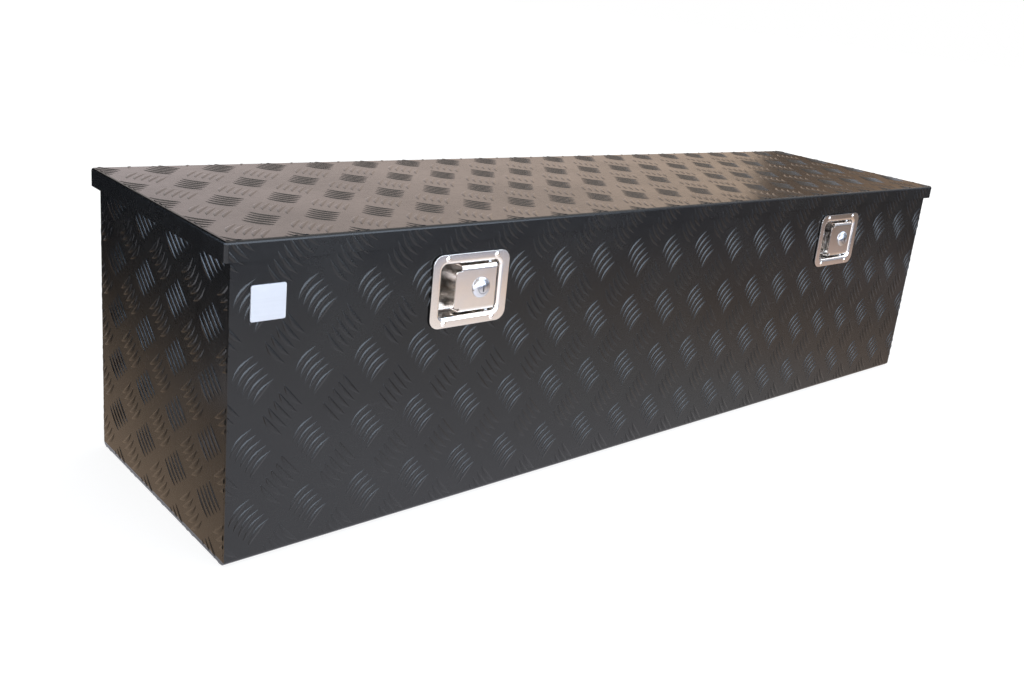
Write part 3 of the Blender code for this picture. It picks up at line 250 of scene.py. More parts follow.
def shade_group(name: str, inputs: dict[str, float], outputs: tuple[str, ...]) -> NodeBench:
    """Starts a shader node group that turns numbers into masks or a height.

    Args:
        name: the group's name.
        inputs: a default for each number that goes in.
        outputs: the name of each value that comes out.

    Returns:
        A bench on the group's tree, with the group's two end nodes as "in" and "out".
    """
    tree = bpy.data.node_groups.new(name, "ShaderNodeTree")
    for label, value in inputs.items():
        socket = tree.interface.new_socket(label, in_out="INPUT", socket_type="NodeSocketFloat")
        socket.default_value = value
    for label in outputs:
        tree.interface.new_socket(label, in_out="OUTPUT", socket_type="NodeSocketFloat")
    bench = NodeBench(tree)
    bench.add("NodeGroupInput", name="in")
    bench.add("NodeGroupOutput", name="out")
    return bench


def coat_grain() -> None:
    """Builds the group for the fine orange peel and cloudiness of a sprayed coat.

    It puts out a cloud mask, a mottle mask and a height.
    """
    bench = shade_group(
        "coat_grain", {"Peel Scale": 620.0, "Cloud Scale": 9.0}, ("Cloud", "Mottle", "Height")
    )
    given = bench.tree.nodes["in"].outputs
    out = bench.tree.nodes["out"].inputs
    where = bench.object_place()
    peel = bench.noise(where, given["Peel Scale"], 1.5)
    cloud = bench.noise(where, given["Cloud Scale"], 3.0)
    mottle = bench.noise(where, 140.0, 3.0)
    swell = bench.noise(where, 210.0, 1.0)
    bench.feed(out["Cloud"], bench.ramp(cloud, 0.3, 0.7))
    bench.feed(out["Mottle"], bench.ramp(mottle, 0.3, 0.7))
    bench.feed(out["Height"], bench.weighted(peel, ((swell, 0.8),)))


def drawn_grain() -> None:
    """Builds the group for the straight fine lines of rolled or brushed metal, along X.

    It puts out a streak mask, a stain mask and a height.
    """
    bench = shade_group(
        "drawn_grain", {"Line Length": 0.03, "Fineness": 1500.0}, ("Streak", "Stain", "Height")
    )
    given = bench.tree.nodes["in"].outputs
    out = bench.tree.nodes["out"].inputs
    where = bench.object_place()
    stretch = bench.add("ShaderNodeCombineXYZ", {"X": given["Line Length"], "Y": 1.0, "Z": 1.0})
    along = bench.add(
        "ShaderNodeVectorMath", {0: where, 1: stretch.outputs[0]}, operation="MULTIPLY"
    ).outputs[0]
    fine = bench.noise(along, given["Fineness"], 2.0)
    coarse = bench.noise(along, 420.0, 2.0)
    stain = bench.noise(where, 60.0, 3.0)
    bench.feed(out["Streak"], bench.ramp(coarse, 0.3, 0.7))
    bench.feed(out["Stain"], bench.ramp(stain, 0.35, 0.7))
    bench.feed(out["Height"], bench.math("ADD", fine, coarse))


def handling_wear() -> None:
    """Builds the group for hairline scuffs and dust from handling.

    It puts out a scuff mask and a dust mask.
    """
    bench = shade_group("handling_wear", {"Scuffs": 0.5, "Dust": 0.5}, ("Scuff", "Dust"))
    given = bench.tree.nodes["in"].outputs
    out = bench.tree.nodes["out"].inputs
    where = bench.object_place()
    slant = {"Vector": where, "Rotation": (0.5, 0.9, 0.6), "Scale": (12, 420, 260)}
    hair = bench.noise(bench.add("ShaderNodeMapping", slant).outputs[0], 1.0, 1.0)
    place = bench.noise(where, 17.0, 2.0)
    dust = bench.noise(where, 900.0, 2.0)
    lines = bench.math("MULTIPLY", bench.ramp(hair, 0.68, 0.76), bench.ramp(place, 0.5, 0.66))
    settled = bench.math("MULTIPLY", bench.ramp(dust, 0.55, 0.75), bench.ramp(place, 0.35, 0.7))
    bench.feed(out["Scuff"], bench.math("MULTIPLY", lines, given["Scuffs"]))
    bench.feed(out["Dust"], bench.math("MULTIPLY", settled, given["Dust"]))


@dataclass(frozen=True)
class Finish:
    """What all finishes share: a name, a colour, its second tone, a roughness and wear."""

    name: str
    colour: Triple
    tone: Triple
    roughness: float
    metallic: float = 0.0
    relief: float = 0.02 * MM
    scuffs: float = 0.3
    dust: float = 0.2

    def base(self) -> tuple[bpy.types.Material, NodeBench, bpy.types.Node]:
        """Makes the material with its Principled shader.

        Returns:
            The material, a bench on its tree and the shader node.
        """
        material = bpy.data.materials.new(f"{self.name}_finish")
        material.use_nodes = True
        shader = material.node_tree.nodes["Principled BSDF"]
        shader.inputs["Metallic"].default_value = self.metallic
        return material, NodeBench(material.node_tree), shader

    def effect(self, bench: NodeBench, name: str, **given: float) -> bpy.types.NodeOutputs:
        """Places a shared group with this finish's own values.

        Args:
            bench: where it goes.
            name: the group's name.
            given: its inputs, named in small letters with low lines for spaces.

        Returns:
            The group's outputs.
        """
        node = bench.add("ShaderNodeGroup", node_tree=bpy.data.node_groups[name])
        for label, value in given.items():
            node.inputs[label.replace("_", " ").title()].default_value = value
        return node.outputs

    def layers(
        self, bench: NodeBench, cloud: bpy.types.NodeSocket, coats: tuple[tuple, ...]
    ) -> bpy.types.NodeSocket:
        """Mixes the colour with its second tone, and then with each further colour.

        Args:
            bench: where the nodes go.
            cloud: mask of the second tone.
            coats: mask and colour of what lies over them.

        Returns:
            The colour of the surface.
        """
        shown = bench.blend(cloud, (*self.colour, 1), (*self.tone, 1))
        for mask, colour in coats:
            shown = bench.blend(mask, shown, (*colour, 1))
        return shown

    def bump(self, bench: NodeBench, shader: bpy.types.Node, height: object) -> None:
        """Feeds a height into the shader's normal.

        Args:
            bench: where the nodes go.
            shader: the Principled shader.
            height: the height.
        """
        node = bench.add("ShaderNodeBump", {"Height": height, "Distance": self.relief})
        node.inputs["Strength"].default_value = 1.0
        bench.feed(shader.inputs["Normal"], node.outputs["Normal"])


@dataclass(frozen=True)
class SprayedCoat(Finish):
    """Powder coat or paint: orange peel, faint clouds, hairline scuffs and dust."""

    peel_scale: float = 620.0
    gloss: float = 0.5

    def material(self) -> bpy.types.Material:
        """Builds the finish.

        Returns:
            Its material.
        """
        material, bench, shader = self.base()
        grain = self.effect(bench, "coat_grain", peel_scale=self.peel_scale)
        wear = self.effect(bench, "handling_wear", scuffs=self.scuffs, dust=self.dust)
        fleck = bench.math("MULTIPLY", grain["Mottle"], 0.35)
        dark_fleck = tuple(0.6 * c for c in self.colour)
        rubbed, dusty = (0.12, 0.12, 0.12), (0.16, 0.15, 0.135)
        coats = ((fleck, dark_fleck), (wear["Scuff"], rubbed), (wear["Dust"], dusty))
        bench.feed(shader.inputs["Base Color"], self.layers(bench, grain["Cloud"], coats))
        rough = ((grain["Cloud"], 0.05), (grain["Mottle"], 0.03), (wear["Dust"], 0.2))
        bench.feed(shader.inputs["Roughness"], bench.weighted(self.roughness, rough))
        shader.inputs["Specular IOR Level"].default_value = self.gloss
        self.bump(bench, shader, grain["Height"])
        return material


@dataclass(frozen=True)
class BareMetal(Finish):
    """Rolled, plated or polished metal: fine lines, faint stains and hairline scuffs."""

    line_length: float = 0.03
    fineness: float = 1500.0
    lines: float = 0.05

    def material(self) -> bpy.types.Material:
        """Builds the finish.

        Returns:
            Its material.
        """
        material, bench, shader = self.base()
        grain = self.effect(
            bench, "drawn_grain", line_length=self.line_length, fineness=self.fineness
        )
        wear = self.effect(bench, "handling_wear", scuffs=self.scuffs, dust=self.dust)
        streak = bench.math("MULTIPLY", grain["Streak"], 2 * self.lines)
        dark_line = tuple(0.75 * c for c in self.colour)
        coats = ((streak, dark_line), (wear["Dust"], (0.3, 0.28, 0.25)))
        bench.feed(shader.inputs["Base Color"], self.layers(bench, grain["Stain"], coats))
        rough = (
            (grain["Streak"], self.lines),
            (grain["Stain"], 0.04),
            (wear["Scuff"], 0.25),
            (wear["Dust"], 0.3),
        )
        bench.feed(shader.inputs["Roughness"], bench.weighted(self.roughness, rough))
        self.bump(bench, shader, grain["Height"])
        return material


FINISHES: dict[str, Finish] = {
    "black_coat": SprayedCoat(
        "black_coat", (0.007, 0.007, 0.0074), (0.009, 0.009, 0.0092), 0.22, relief=0.008 * MM,
        scuffs=0.05, dust=0.04, gloss=0.42,
    ),
    "latch_steel": BareMetal(
        "latch_steel", (0.90, 0.84, 0.78), (0.88, 0.82, 0.765), 0.16, 1.0, 0.0006 * MM, 0.1, 0.01,
        lines=0.02,
    ),
    "lock_chrome": BareMetal(
        "lock_chrome", (0.64, 0.65, 0.68), (0.60, 0.61, 0.64), 0.17, 1.0, 0.0008 * MM, 0.4, 0.1
    ),
    "badge_metal": BareMetal(
        "badge_metal", (0.62, 0.64, 0.69), (0.59, 0.61, 0.66), 0.34, 0.5, 0.002 * MM, 0.15, 0.03
    ),
    "hinge_steel": BareMetal(
        "hinge_steel", (0.60, 0.60, 0.60), (0.54, 0.54, 0.54), 0.28, 1.0, 0.002 * MM, 0.5, 0.3
    ),
    "zinc_steel": BareMetal(
        "zinc_steel", (0.62, 0.62, 0.63), (0.54, 0.55, 0.57), 0.32, 1.0, 0.003 * MM, 0.4, 0.3,
        line_length=0.6, fineness=600.0,
    ),
    "strut_steel": SprayedCoat(
        "strut_steel", (0.03, 0.03, 0.032), (0.034, 0.034, 0.036), 0.22, relief=0.004 * MM,
        peel_scale=900.0,
    ),
    "rod_chrome": BareMetal(
        "rod_chrome", (0.70, 0.70, 0.72), (0.66, 0.66, 0.68), 0.09, 1.0, 0.0005 * MM, 0.5, 0.1
    ),
    "socket_plastic": SprayedCoat(
        "socket_plastic", (0.028, 0.028, 0.03), (0.032, 0.032, 0.034), 0.5, relief=0.02 * MM,
        peel_scale=1400.0,
    ),
    "seal_rubber": SprayedCoat(
        "seal_rubber", (0.02, 0.02, 0.02), (0.026, 0.026, 0.026), 0.68, relief=0.03 * MM,
        peel_scale=1100.0, gloss=0.35,
    ),
}


class FinishRack:
    """Holds the made materials and gives each CAD node and new piece its own."""

    def __init__(self) -> None:
        """Builds the shared groups and one material for each finish."""
        coat_grain()
        drawn_grain()
        handling_wear()
        self.materials = {slot: finish.material() for slot, finish in FINISHES.items()}

    def dress_nodes(self, frame: dict) -> None:
        """Gives every CAD node the material of its slot.
        """
        for part in frame["record"]["subparts"]:
            ob = frame["nodes"][part["node"]]
            for slot in ob.material_slots:
                slot.material = self.materials[part["material_slot"]]


# ---------------------------------------------------------------------------------------------
# Making pieces
# ---------------------------------------------------------------------------------------------


def put_in(name: str, data: bpy.types.ID) -> bpy.types.Object:
    """Puts data into the scene.

    Args:
        name: the object's name.
        data: its mesh, lamp or camera.

    Returns:
        The new object.
    """
    ob = bpy.data.objects.new(name, data)
    bpy.context.scene.collection.objects.link(ob)
    return ob


def as_data(mesh: bmesh.types.BMesh, name: str = "shape") -> bpy.types.Mesh:
    """Turns a bmesh into mesh data.

    Args:
        mesh: the shape; it is used up.
        name: the data's name.

    Returns:
        The mesh data.
    """
    data = bpy.data.meshes.new(name)
    mesh.to_mesh(data)
    mesh.free()
    return data


def join_in(mesh: bmesh.types.BMesh, part: bmesh.types.BMesh) -> None:
    """Adds a shape to another one.

    Args:
        mesh: the shape that grows.
        part: the shape that is added; it is used up.
    """
    data = as_data(part)
    mesh.from_mesh(data)
    bpy.data.meshes.remove(data)


def finished_piece(
    name: str,
    mesh: bmesh.types.BMesh,
    rack: FinishRack,
    slot: str,
    body: str | None,
    replaces: tuple[str, ...] = (),
    sharp_deg: float = 35.0,
) -> bpy.types.Object:
    """Turns a bmesh into a piece that rides on a body.

    Args:
        name: the piece's name.
        mesh: its shape, in place; it is used up.
        rack: the materials.
        slot: the record's material slot of its finish.
        body: the body that it moves with, or None to attach it to none.
        replaces: CAD nodes that it stands for.
        sharp_deg: edges that turn more than this stay sharp.

    Returns:
        The new object.
    """
    data = as_data(mesh, name)
    data.shade_smooth()
    data.set_sharp_from_angle(angle=math.radians(sharp_deg))
    data.materials.append(rack.materials[slot])
    ob = put_in(name, data)
    if body:
        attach(ob, body)
    if replaces:
        ob.modifiers.new("flat_faces", "WEIGHTED_NORMAL").keep_sharp = True
        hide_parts(*replaces)
    LOG.info("%s: %d faces on %s", name, len(data.polygons), body or "two bodies")
    return ob


def quarter_turn(steps: int) -> list[tuple[float, float]]:
    """Gives sine and cosine of evenly spaced turns from 0 to 90 degrees."""
    turns = (math.pi / 2 * step / steps for step in range(steps + 1))
    return [(math.sin(turn), math.cos(turn)) for turn in turns]


def bevelled(
    mesh: bmesh.types.BMesh,
    geom: list[bmesh.types.BMVert | bmesh.types.BMEdge],
    width: float,
    steps: int,
    kind: str,
    clamped: bool = False,
) -> None:
    """Rounds corners of a flat sheet or edges of a shape.

    Args:
        mesh: the shape.
        geom: its corners or edges.
        width: how far from each the rounding starts.
        steps: faces across the rounding.
        kind: "VERTICES" or "EDGES".
        clamped: whether it stops where roundings meet.
    """
    bmesh.ops.bevel(
        mesh,
        geom=geom,
        offset=width,
        offset_type="OFFSET",
        segments=steps,
        profile=0.5,
        affect=kind,
        material=-1,
        clamp_overlap=clamped,
    )


def cut_at(
    mesh: bmesh.types.BMesh, point: Triple, normal: Triple, **options: object
) -> list[bmesh.types.BMVert | bmesh.types.BMEdge]:
    """Cuts every face that crosses a plane.

    Args:
        mesh: the shape.
        point: a point of the plane.
        normal: the plane's direction.
        options: what else the operator is told, such as the side that goes.

    Returns:
        The corners and edges on the plane.
    """
    geom = mesh.verts[:] + mesh.edges[:] + mesh.faces[:]
    done = bmesh.ops.bisect_plane(mesh, geom=geom, plane_co=point, plane_no=normal, **options)
    return done["geom_cut"]


def trim(mesh: bmesh.types.BMesh, point: Triple, outward: Triple) -> None:
    """Cuts off what lies beyond a plane and closes the cuts.

    Args:
        mesh: the shape.
        point: a point of the plane.
        outward: the side that is cut off.
    """
    rim = [
        e
        for e in cut_at(mesh, point, outward, dist=MERGE, clear_outer=True)
        if isinstance(e, bmesh.types.BMEdge) and e.is_valid and len(e.link_faces) == 1
    ]
    if rim:
        bmesh.ops.holes_fill(mesh, edges=rim, sides=0)


def rounded_plate(
    mesh: bmesh.types.BMesh, width: float, height: float, corner: float, steps: int, level: float
) -> bmesh.types.BMFace:
    """Adds a flat face with round corners, centred on the Z axis.

    Args:
        mesh: where it goes.
        width: size along X.
        height: size along Y.
        corner: radius of its corners.
        steps: faces round each corner.
        level: its Z.

    Returns:
        The face.
    """
    place = Matrix.Translation((0, 0, level)) @ Matrix.Diagonal((width, height, 1, 1))
    others = set(mesh.faces)
    made = bmesh.ops.create_grid(mesh, x_segments=1, y_segments=1, size=0.5, matrix=place)
    bevelled(mesh, made["verts"], corner, steps, "VERTICES")
    return next(face for face in mesh.faces if face not in others)


def stacked_plates(
    rows: list[tuple[float, float, float, float]], steps: int
) -> bmesh.types.BMesh:
    """Draws a rounded outline on through further ones to a closed skin.

    Args:
        rows: width, height, corner and level of each outline.
        steps: faces round each corner.

    Returns:
        The skin, with its faces outwards.
    """
    mesh = bmesh.new()
    width, height, corner, level = rows[0]
    edges = list(rounded_plate(mesh, width, height, corner, steps, level).edges)
    for wide, high, bend, up in rows[1:]:
        done = bmesh.ops.extrude_edge_only(mesh, edges=edges)["geom"]
        edges = [e for e in done if isinstance(e, bmesh.types.BMEdge)]
        for vert in [v for v in done if isinstance(v, bmesh.types.BMVert)]:
            x, y = math.copysign(1, vert.co.x), math.copysign(1, vert.co.y)
            hub = Vector((x * (width / 2 - corner), y * (height / 2 - corner)))
            spoke = (vert.co.xy - hub) / corner
            place = Vector((x * (wide / 2 - bend), y * (high / 2 - bend))) + bend * spoke
            vert.co = (*place, up)
        width, height, corner = wide, high, bend
    bmesh.ops.contextual_create(mesh, geom=edges)
    bmesh.ops.recalc_face_normals(mesh, faces=mesh.faces)
    return mesh


def eased_edge(
    width: float, height: float, corner: float, top: float, edge: float
) -> list[tuple[float, float, float, float]]:
    """Lists the outlines of a plate's eased upper edge, from the top down.

    Args:
        width: the plate's width.
        height: its height.
        corner: radius of its corners.
        top: level of its upper face.
        edge: size of the easing.

    Returns:
        Width, height, corner and level of each outline.
    """
    steps = ((edge, 0), (0.3 * edge, 0.3 * edge), (0, edge))
    return [
        (width - 2 * inset, height - 2 * inset, corner - inset, top - drop)
        for inset, drop in steps
    ]


def turned(profile: list[tuple[float, float]], sides: int) -> bmesh.types.BMesh:
    """Turns a profile about Z.

    Args:
        profile: radius and height of its points, from bottom or top on, joined in order.
        sides: faces round the axis.

    Returns:
        The turned skin, with its faces outwards.
    """
    mesh = bmesh.new()
    points = [mesh.verts.new((radius, 0, level)) for radius, level in profile]
    edges = [mesh.edges.new(pair) for pair in zip(points, points[1:])]
    if profile[0][0] > 0:
        edges.append(mesh.edges.new((points[-1], points[0])))
    bmesh.ops.spin(
        mesh,
        geom=points + edges,
        cent=(0, 0, 0),
        axis=(0, 0, 1),
        angle=2 * math.pi,
        steps=sides,
        use_merge=True,
    )
    bmesh.ops.remove_doubles(mesh, verts=mesh.verts, dist=MERGE)
    bmesh.ops.recalc_face_normals(mesh, faces=mesh.faces)
    return mesh


def cut_away(body: bmesh.types.BMesh, tool: bmesh.types.BMesh) -> bmesh.types.BMesh:
    """Cuts one closed shape out of another.

    Args:
        body: the shape that is cut; it is used up.
        tool: the shape that is taken away; it is used up.

    Returns:
        What is left.
    """
    obs = [put_in("cutting", as_data(shape, "cutting")) for shape in (body, tool)]
    cut = obs[0].modifiers.new("cut", "BOOLEAN")
    cut.operation = "DIFFERENCE"
    cut.solver = "EXACT"
    cut.object = obs[1]
    graph = bpy.context.evaluated_depsgraph_get()
    left = bmesh.new()
    left.from_mesh(obs[0].evaluated_get(graph).to_mesh())
    for ob in obs:
        data = ob.data
        bpy.data.objects.remove(ob)
        bpy.data.meshes.remove(data)
    return left


def cuboid(low: Triple, high: Triple) -> bmesh.types.BMesh:
    """Makes a box as a cutting tool.

    Args:
        low: its lowest corner.
        high: its highest corner.

    Returns:
        The closed box.
    """
    mesh = bmesh.new()
    middle, size = (Vector(low) + Vector(high)) / 2, Vector(high) - Vector(low)
    place = Matrix.Translation(middle) @ Matrix.Diagonal((*size, 1))
    bmesh.ops.create_cube(mesh, size=1, matrix=place)
    return mesh


def softened(mesh: bmesh.types.BMesh, width: float, steps: int, angle_deg: float) -> None:
    """Rounds every edge of a shape that turns more than an angle.

    Args:
        mesh: the shape.
        width: how far from the edge the rounding starts.
        steps: faces across the rounding.
        angle_deg: the angle.
    """
    sharp = [
        e
        for e in mesh.edges
        if len(e.link_faces) == 2 and e.calc_face_angle(0) > math.radians(angle_deg)
    ]
    bevelled(mesh, sharp, width, steps, "EDGES", clamped=True)


# ---------------------------------------------------------------------------------------------
# Tread plate
# ---------------------------------------------------------------------------------------------


@dataclass(frozen=True)
class TreadBar:
    """One raised bar of the five-bar pattern: a curved, pointed lens."""

    length: float = 33 * MM
    width: float = 5.4 * MM
    height: float = 0.78 * MM
    bulge: float = 2.6 * MM
    lean_deg: float = 50.5
    foot: float = 0.15 * MM
    sides: int = 12
    rings: int = 8

    def bent(self, along: float, across: float, up: float) -> Vector:
        """Moves a point of the unit sphere to its place on the bar.

        Args:
            along: its X.
            across: its Y.
            up: its Z.

        Returns:
            The point on the bar.
        """
        taper = math.sqrt(max(0.0, 1 - along * along))
        crown = (up / taper) ** 2 if taper > 0.01 else 0.0
        arch = self.bulge * (1 - along * along)
        side = across * taper * self.width / 2 * 1.06 + arch
        level = crown * taper**1.2 * self.height if up > -1e-4 else -self.height
        return Vector((along * self.length / 2, side, level))

    def shape(self) -> bmesh.types.BMesh:
        """Makes the bar, centred on the origin, with its foot just under Z = 0.

        Returns:
            A closed shape of a few dozen faces.
        """
        mesh = bmesh.new()
        turn = Matrix.Rotation(math.pi / 2, 4, "Y")
        bmesh.ops.create_uvsphere(
            mesh, u_segments=self.sides, v_segments=self.rings, radius=1, matrix=turn
        )
        for vert in mesh.verts:
            vert.co = self.bent(*vert.co)
        cut_at(mesh, (0, 0, -self.foot), (0, 0, 1), dist=MERGE, clear_inner=True)
        rim = [e for e in mesh.edges if len(e.link_faces) == 1]
        bmesh.ops.holes_fill(mesh, edges=rim, sides=0)
        bmesh.ops.translate(mesh, verts=mesh.verts, vec=(0, -0.6 * self.bulge, 0))
        lean = Matrix.Rotation(math.radians(self.lean_deg), 3, "Z")
        bmesh.ops.rotate(mesh, verts=mesh.verts, cent=(0, 0, 0), matrix=lean)
        bmesh.ops.recalc_face_normals(mesh, faces=mesh.faces)
        return mesh


@dataclass(frozen=True)
class TreadCluster:
    """Five bars side by side, and the mirrored five that fill the gaps between clusters."""

    bar: TreadBar = field(default_factory=TreadBar)
    count: int = 5
    step: tuple[float, float] = (5.1 * MM, -6.6 * MM)

    def pattern(self, crossing: bool) -> bpy.types.Mesh:
        """Makes one cluster as mesh data.

        Args:
            crossing: whether it is the mirrored one.

        Returns:
            The cluster, centred on the origin.
        """
        cluster = bmesh.new()
        for number in range(self.count):
            shift = number - (self.count - 1) / 2
            bar = self.bar.shape()
            offset = (shift * self.step[0], shift * self.step[1], 0)
            bmesh.ops.translate(bar, verts=bar.verts, vec=offset)
            join_in(cluster, bar)
        if crossing:
            bmesh.ops.scale(cluster, verts=cluster.verts, vec=(1, -1, 1))
            bmesh.ops.reverse_faces(cluster, faces=cluster.faces)
        return as_data(cluster, "cluster")


@dataclass(frozen=True)
class TreadPanel:
    """One flat face with its lattice of bar clusters.

    The panel's own X and Y run along across and up, and its Z points out of the sheet.
    """

    face: Face
    body: str
    origin: Triple
    across: Triple
    up: Triple
    size: tuple[float, float]
    first: tuple[float, float]
    pitch: tuple[float, float]
    quarter_turned: bool = False
    openings: tuple[tuple[float, float, float, float], ...] = ()
    reach: float = 30 * MM

    def frame(self) -> Matrix:
        """Works out where the panel lies.

        Returns:
            The matrix from the panel's own axes to the scene's.
        """
        across, up = Vector(self.across), Vector(self.up)
        turn = Matrix((across, up, across.cross(up))).transposed().to_4x4()
        return Matrix.Translation(self.origin) @ turn

    def sites(self) -> list[tuple[float, float, bool]]:
        """Lists the clusters' places.

        Returns:
            The two coordinates of each cluster, and whether it is a crossing one.
        """
        places = []
        for crossing in (False, True):
            start = [self.first[i] + (self.pitch[i] / 2 if crossing else 0) for i in (0, 1)]
            x, low = (
                s - math.floor((s + self.reach) / p) * p for s, p in zip(start, self.pitch)
            )
            while x < self.size[0] + self.reach:
                y = low
                while y < self.size[1] + self.reach:
                    places.append((x, y, crossing))
                    y += self.pitch[1]
                x += self.pitch[0]
        return places

    def opening_near(self, x: float, y: float) -> tuple[float, float, float, float] | None:
        """Finds the opening that a cluster may meet.

        Args:
            x: the cluster's place across.
            y: its place up.

        Returns:
            The opening's lowest X and Y and highest X and Y, or None.
        """
        for left, low, right, high in self.openings:
            beside = left - self.reach < x < right + self.reach
            if beside and low - self.reach < y < high + self.reach:
                return left, low, right, high
        return None

    def build(self, rack: FinishRack, patterns: list[bpy.types.Mesh]) -> None:
        """Lays the clusters, trims them to the sheet and makes the piece.

        Args:
            rack: the materials.
            patterns: the leading and the crossing cluster.
        """
        mesh = bmesh.new()
        turn = Matrix.Rotation(math.pi / 2 if self.quarter_turned else 0, 4, "Z")
        for x, y, crossing in self.sites():
            data = patterns[int(crossing)].copy()
            data.transform(Matrix.Translation((x, y, 0)) @ turn)
            opening = self.opening_near(x, y)
            if opening:
                self.lay_beside(mesh, data, opening)
            else:
                mesh.from_mesh(data)
            bpy.data.meshes.remove(data)
        width, height = self.size
        trim(mesh, (0, 0, 0), (-1, 0, 0))
        trim(mesh, (width, 0, 0), (1, 0, 0))
        trim(mesh, (0, 0, 0), (0, -1, 0))
        trim(mesh, (0, height, 0), (0, 1, 0))
        bmesh.ops.transform(mesh, matrix=self.frame(), verts=mesh.verts)
        name = f"tread_bars_{self.face.value}"
        finished_piece(name, mesh, rack, "black_coat", self.body, sharp_deg=60)

    def lay_beside(
        self,
        mesh: bmesh.types.BMesh,
        data: bpy.types.Mesh,
        opening: tuple[float, float, float, float],
    ) -> None:
        """Lays a cluster that meets an opening, without what lies in the opening.

        Args:
            mesh: the panel's bars.
            data: the cluster, in place.
            opening: lowest X and Y and highest X and Y of the opening.
        """
        left, low, right, high = opening
        between = [((left, 0, 0), (-1, 0, 0)), ((right, 0, 0), (1, 0, 0))]
        for cuts in (
            [((left, 0, 0), (1, 0, 0))],
            [((right, 0, 0), (-1, 0, 0))],
            [((0, high, 0), (0, -1, 0)), *between],
            [((0, low, 0), (0, 1, 0)), *between],
        ):
            shard = bmesh.new()
            shard.from_mesh(data)
            for point, outward in cuts:
                trim(shard, point, outward)
            join_in(mesh, shard)


@dataclass
class TreadPlate:
    """All tread bars of the box."""

    cluster: TreadCluster = field(default_factory=TreadCluster)
    pitch: tuple[float, float] = (62.8 * MM, 72.5 * MM)
    lid_pitch: tuple[float, float] = (64 * MM, 76.3 * MM)
    end_pitch: tuple[float, float] = (75.3 * MM, 59.5 * MM)
    lip_pitch: tuple[float, float] = (62.8 * MM, 76.3 * MM)
    wall_first: tuple[float, float] = (23 * MM, 41 * MM - BODY_FOLD)
    under_first: tuple[float, float] = (23 * MM, 36 * MM)
    end_first: tuple[float, float] = (41.5 * MM, 51.5 * MM)
    lid_first: tuple[float, float] = (31.6 * MM, 27 * MM)
    lip_first: tuple[float, float] = (34 * MM, 45 * MM)
    front_top: float = 301 * MM
    back_top: float = 262 * MM
    end_height: float = 298 * MM
    end_margin: float = 3 * MM
    lip_margin: float = 0.4 * MM
    opening: tuple[float, float] = (79 * MM, 60.5 * MM)

    def latch_openings(self) -> tuple[tuple[float, float, float, float], ...]:
        """Lists the front's openings for the latches.

        Returns:
            Lowest X and Y and highest X and Y of each, from the panel's lower left corner.
        """
        wide, high = self.opening[0] / 2, self.opening[1] / 2
        level = LATCH_Z - BODY_FOLD
        middles = [x + END_X for x in LATCH_X]
        return tuple((x - wide, level - high, x + wide, level + high) for x in middles)

    def body_panels(self) -> list[TreadPanel]:
        """Lists the body's faces with their lattices.

        Returns:
            The five panels that don't move.
        """
        length, depth = 2 * END_X, BACK_Y - FRONT_Y
        right, left, back, front, up = (1, 0, 0), (-1, 0, 0), (0, 1, 0), (0, -1, 0), (0, 0, 1)
        margin = self.end_margin
        end_size = (depth - 2 * margin, self.end_height)
        return [
            TreadPanel(
                Face.FRONT, "box", (-END_X, FRONT_Y, BODY_FOLD), right, up,
                (length, self.front_top - BODY_FOLD), self.wall_first, self.pitch,
                openings=self.latch_openings(),
            ),
            TreadPanel(
                Face.BACK, "box", (END_X, BACK_Y, BODY_FOLD), left, up,
                (length, self.back_top - BODY_FOLD), self.wall_first, self.pitch,
            ),
            TreadPanel(
                Face.UNDERSIDE, "box", (-END_X, BACK_Y - BODY_FOLD, 0), right, front,
                (length, depth - 2 * BODY_FOLD), self.under_first, self.pitch,
            ),
            TreadPanel(
                Face.LEFT_END, "box", (-END_X, BACK_Y - margin, margin), front, up,
                end_size, self.end_first, self.end_pitch, quarter_turned=True,
            ),
            TreadPanel(
                Face.RIGHT_END, "box", (END_X, FRONT_Y + margin, margin), back, up,
                end_size, self.end_first, self.end_pitch, quarter_turned=True,
            ),
        ]

    def lid_panels(self) -> list[TreadPanel]:
        """Lists the lid's faces with their lattices.

        Returns:
            The two panels that move with the lid.
        """
        length = 2 * (LID_END_X - LID_FOLD)
        depth = LID_BACK_Y - LID_FRONT_Y - 2 * LID_FOLD
        left = -LID_END_X + LID_FOLD
        lip = LID_TOP_Z - LIP_Z - LID_FOLD - self.lip_margin
        return [
            TreadPanel(
                Face.TOP, "lid", (left, LID_FRONT_Y + LID_FOLD, LID_TOP_Z), (1, 0, 0), (0, 1, 0),
                (length, depth), self.lid_first, self.lid_pitch,
            ),
            TreadPanel(
                Face.LIP_FRONT, "lid", (left, LID_FRONT_Y, LIP_Z + self.lip_margin), (1, 0, 0),
                (0, 0, 1), (length, lip), self.lip_first, self.lip_pitch,
            ),
        ]

    def build(self, rack: FinishRack) -> None:
        """Builds the bars of every face.

        Args:
            rack: the materials.
        """
        patterns = [self.cluster.pattern(crossing) for crossing in (False, True)]
        for panel in self.body_panels() + self.lid_panels():
            panel.build(rack, patterns)
        for data in patterns:
            bpy.data.meshes.remove(data)


# ---------------------------------------------------------------------------------------------
# Latches
# ---------------------------------------------------------------------------------------------


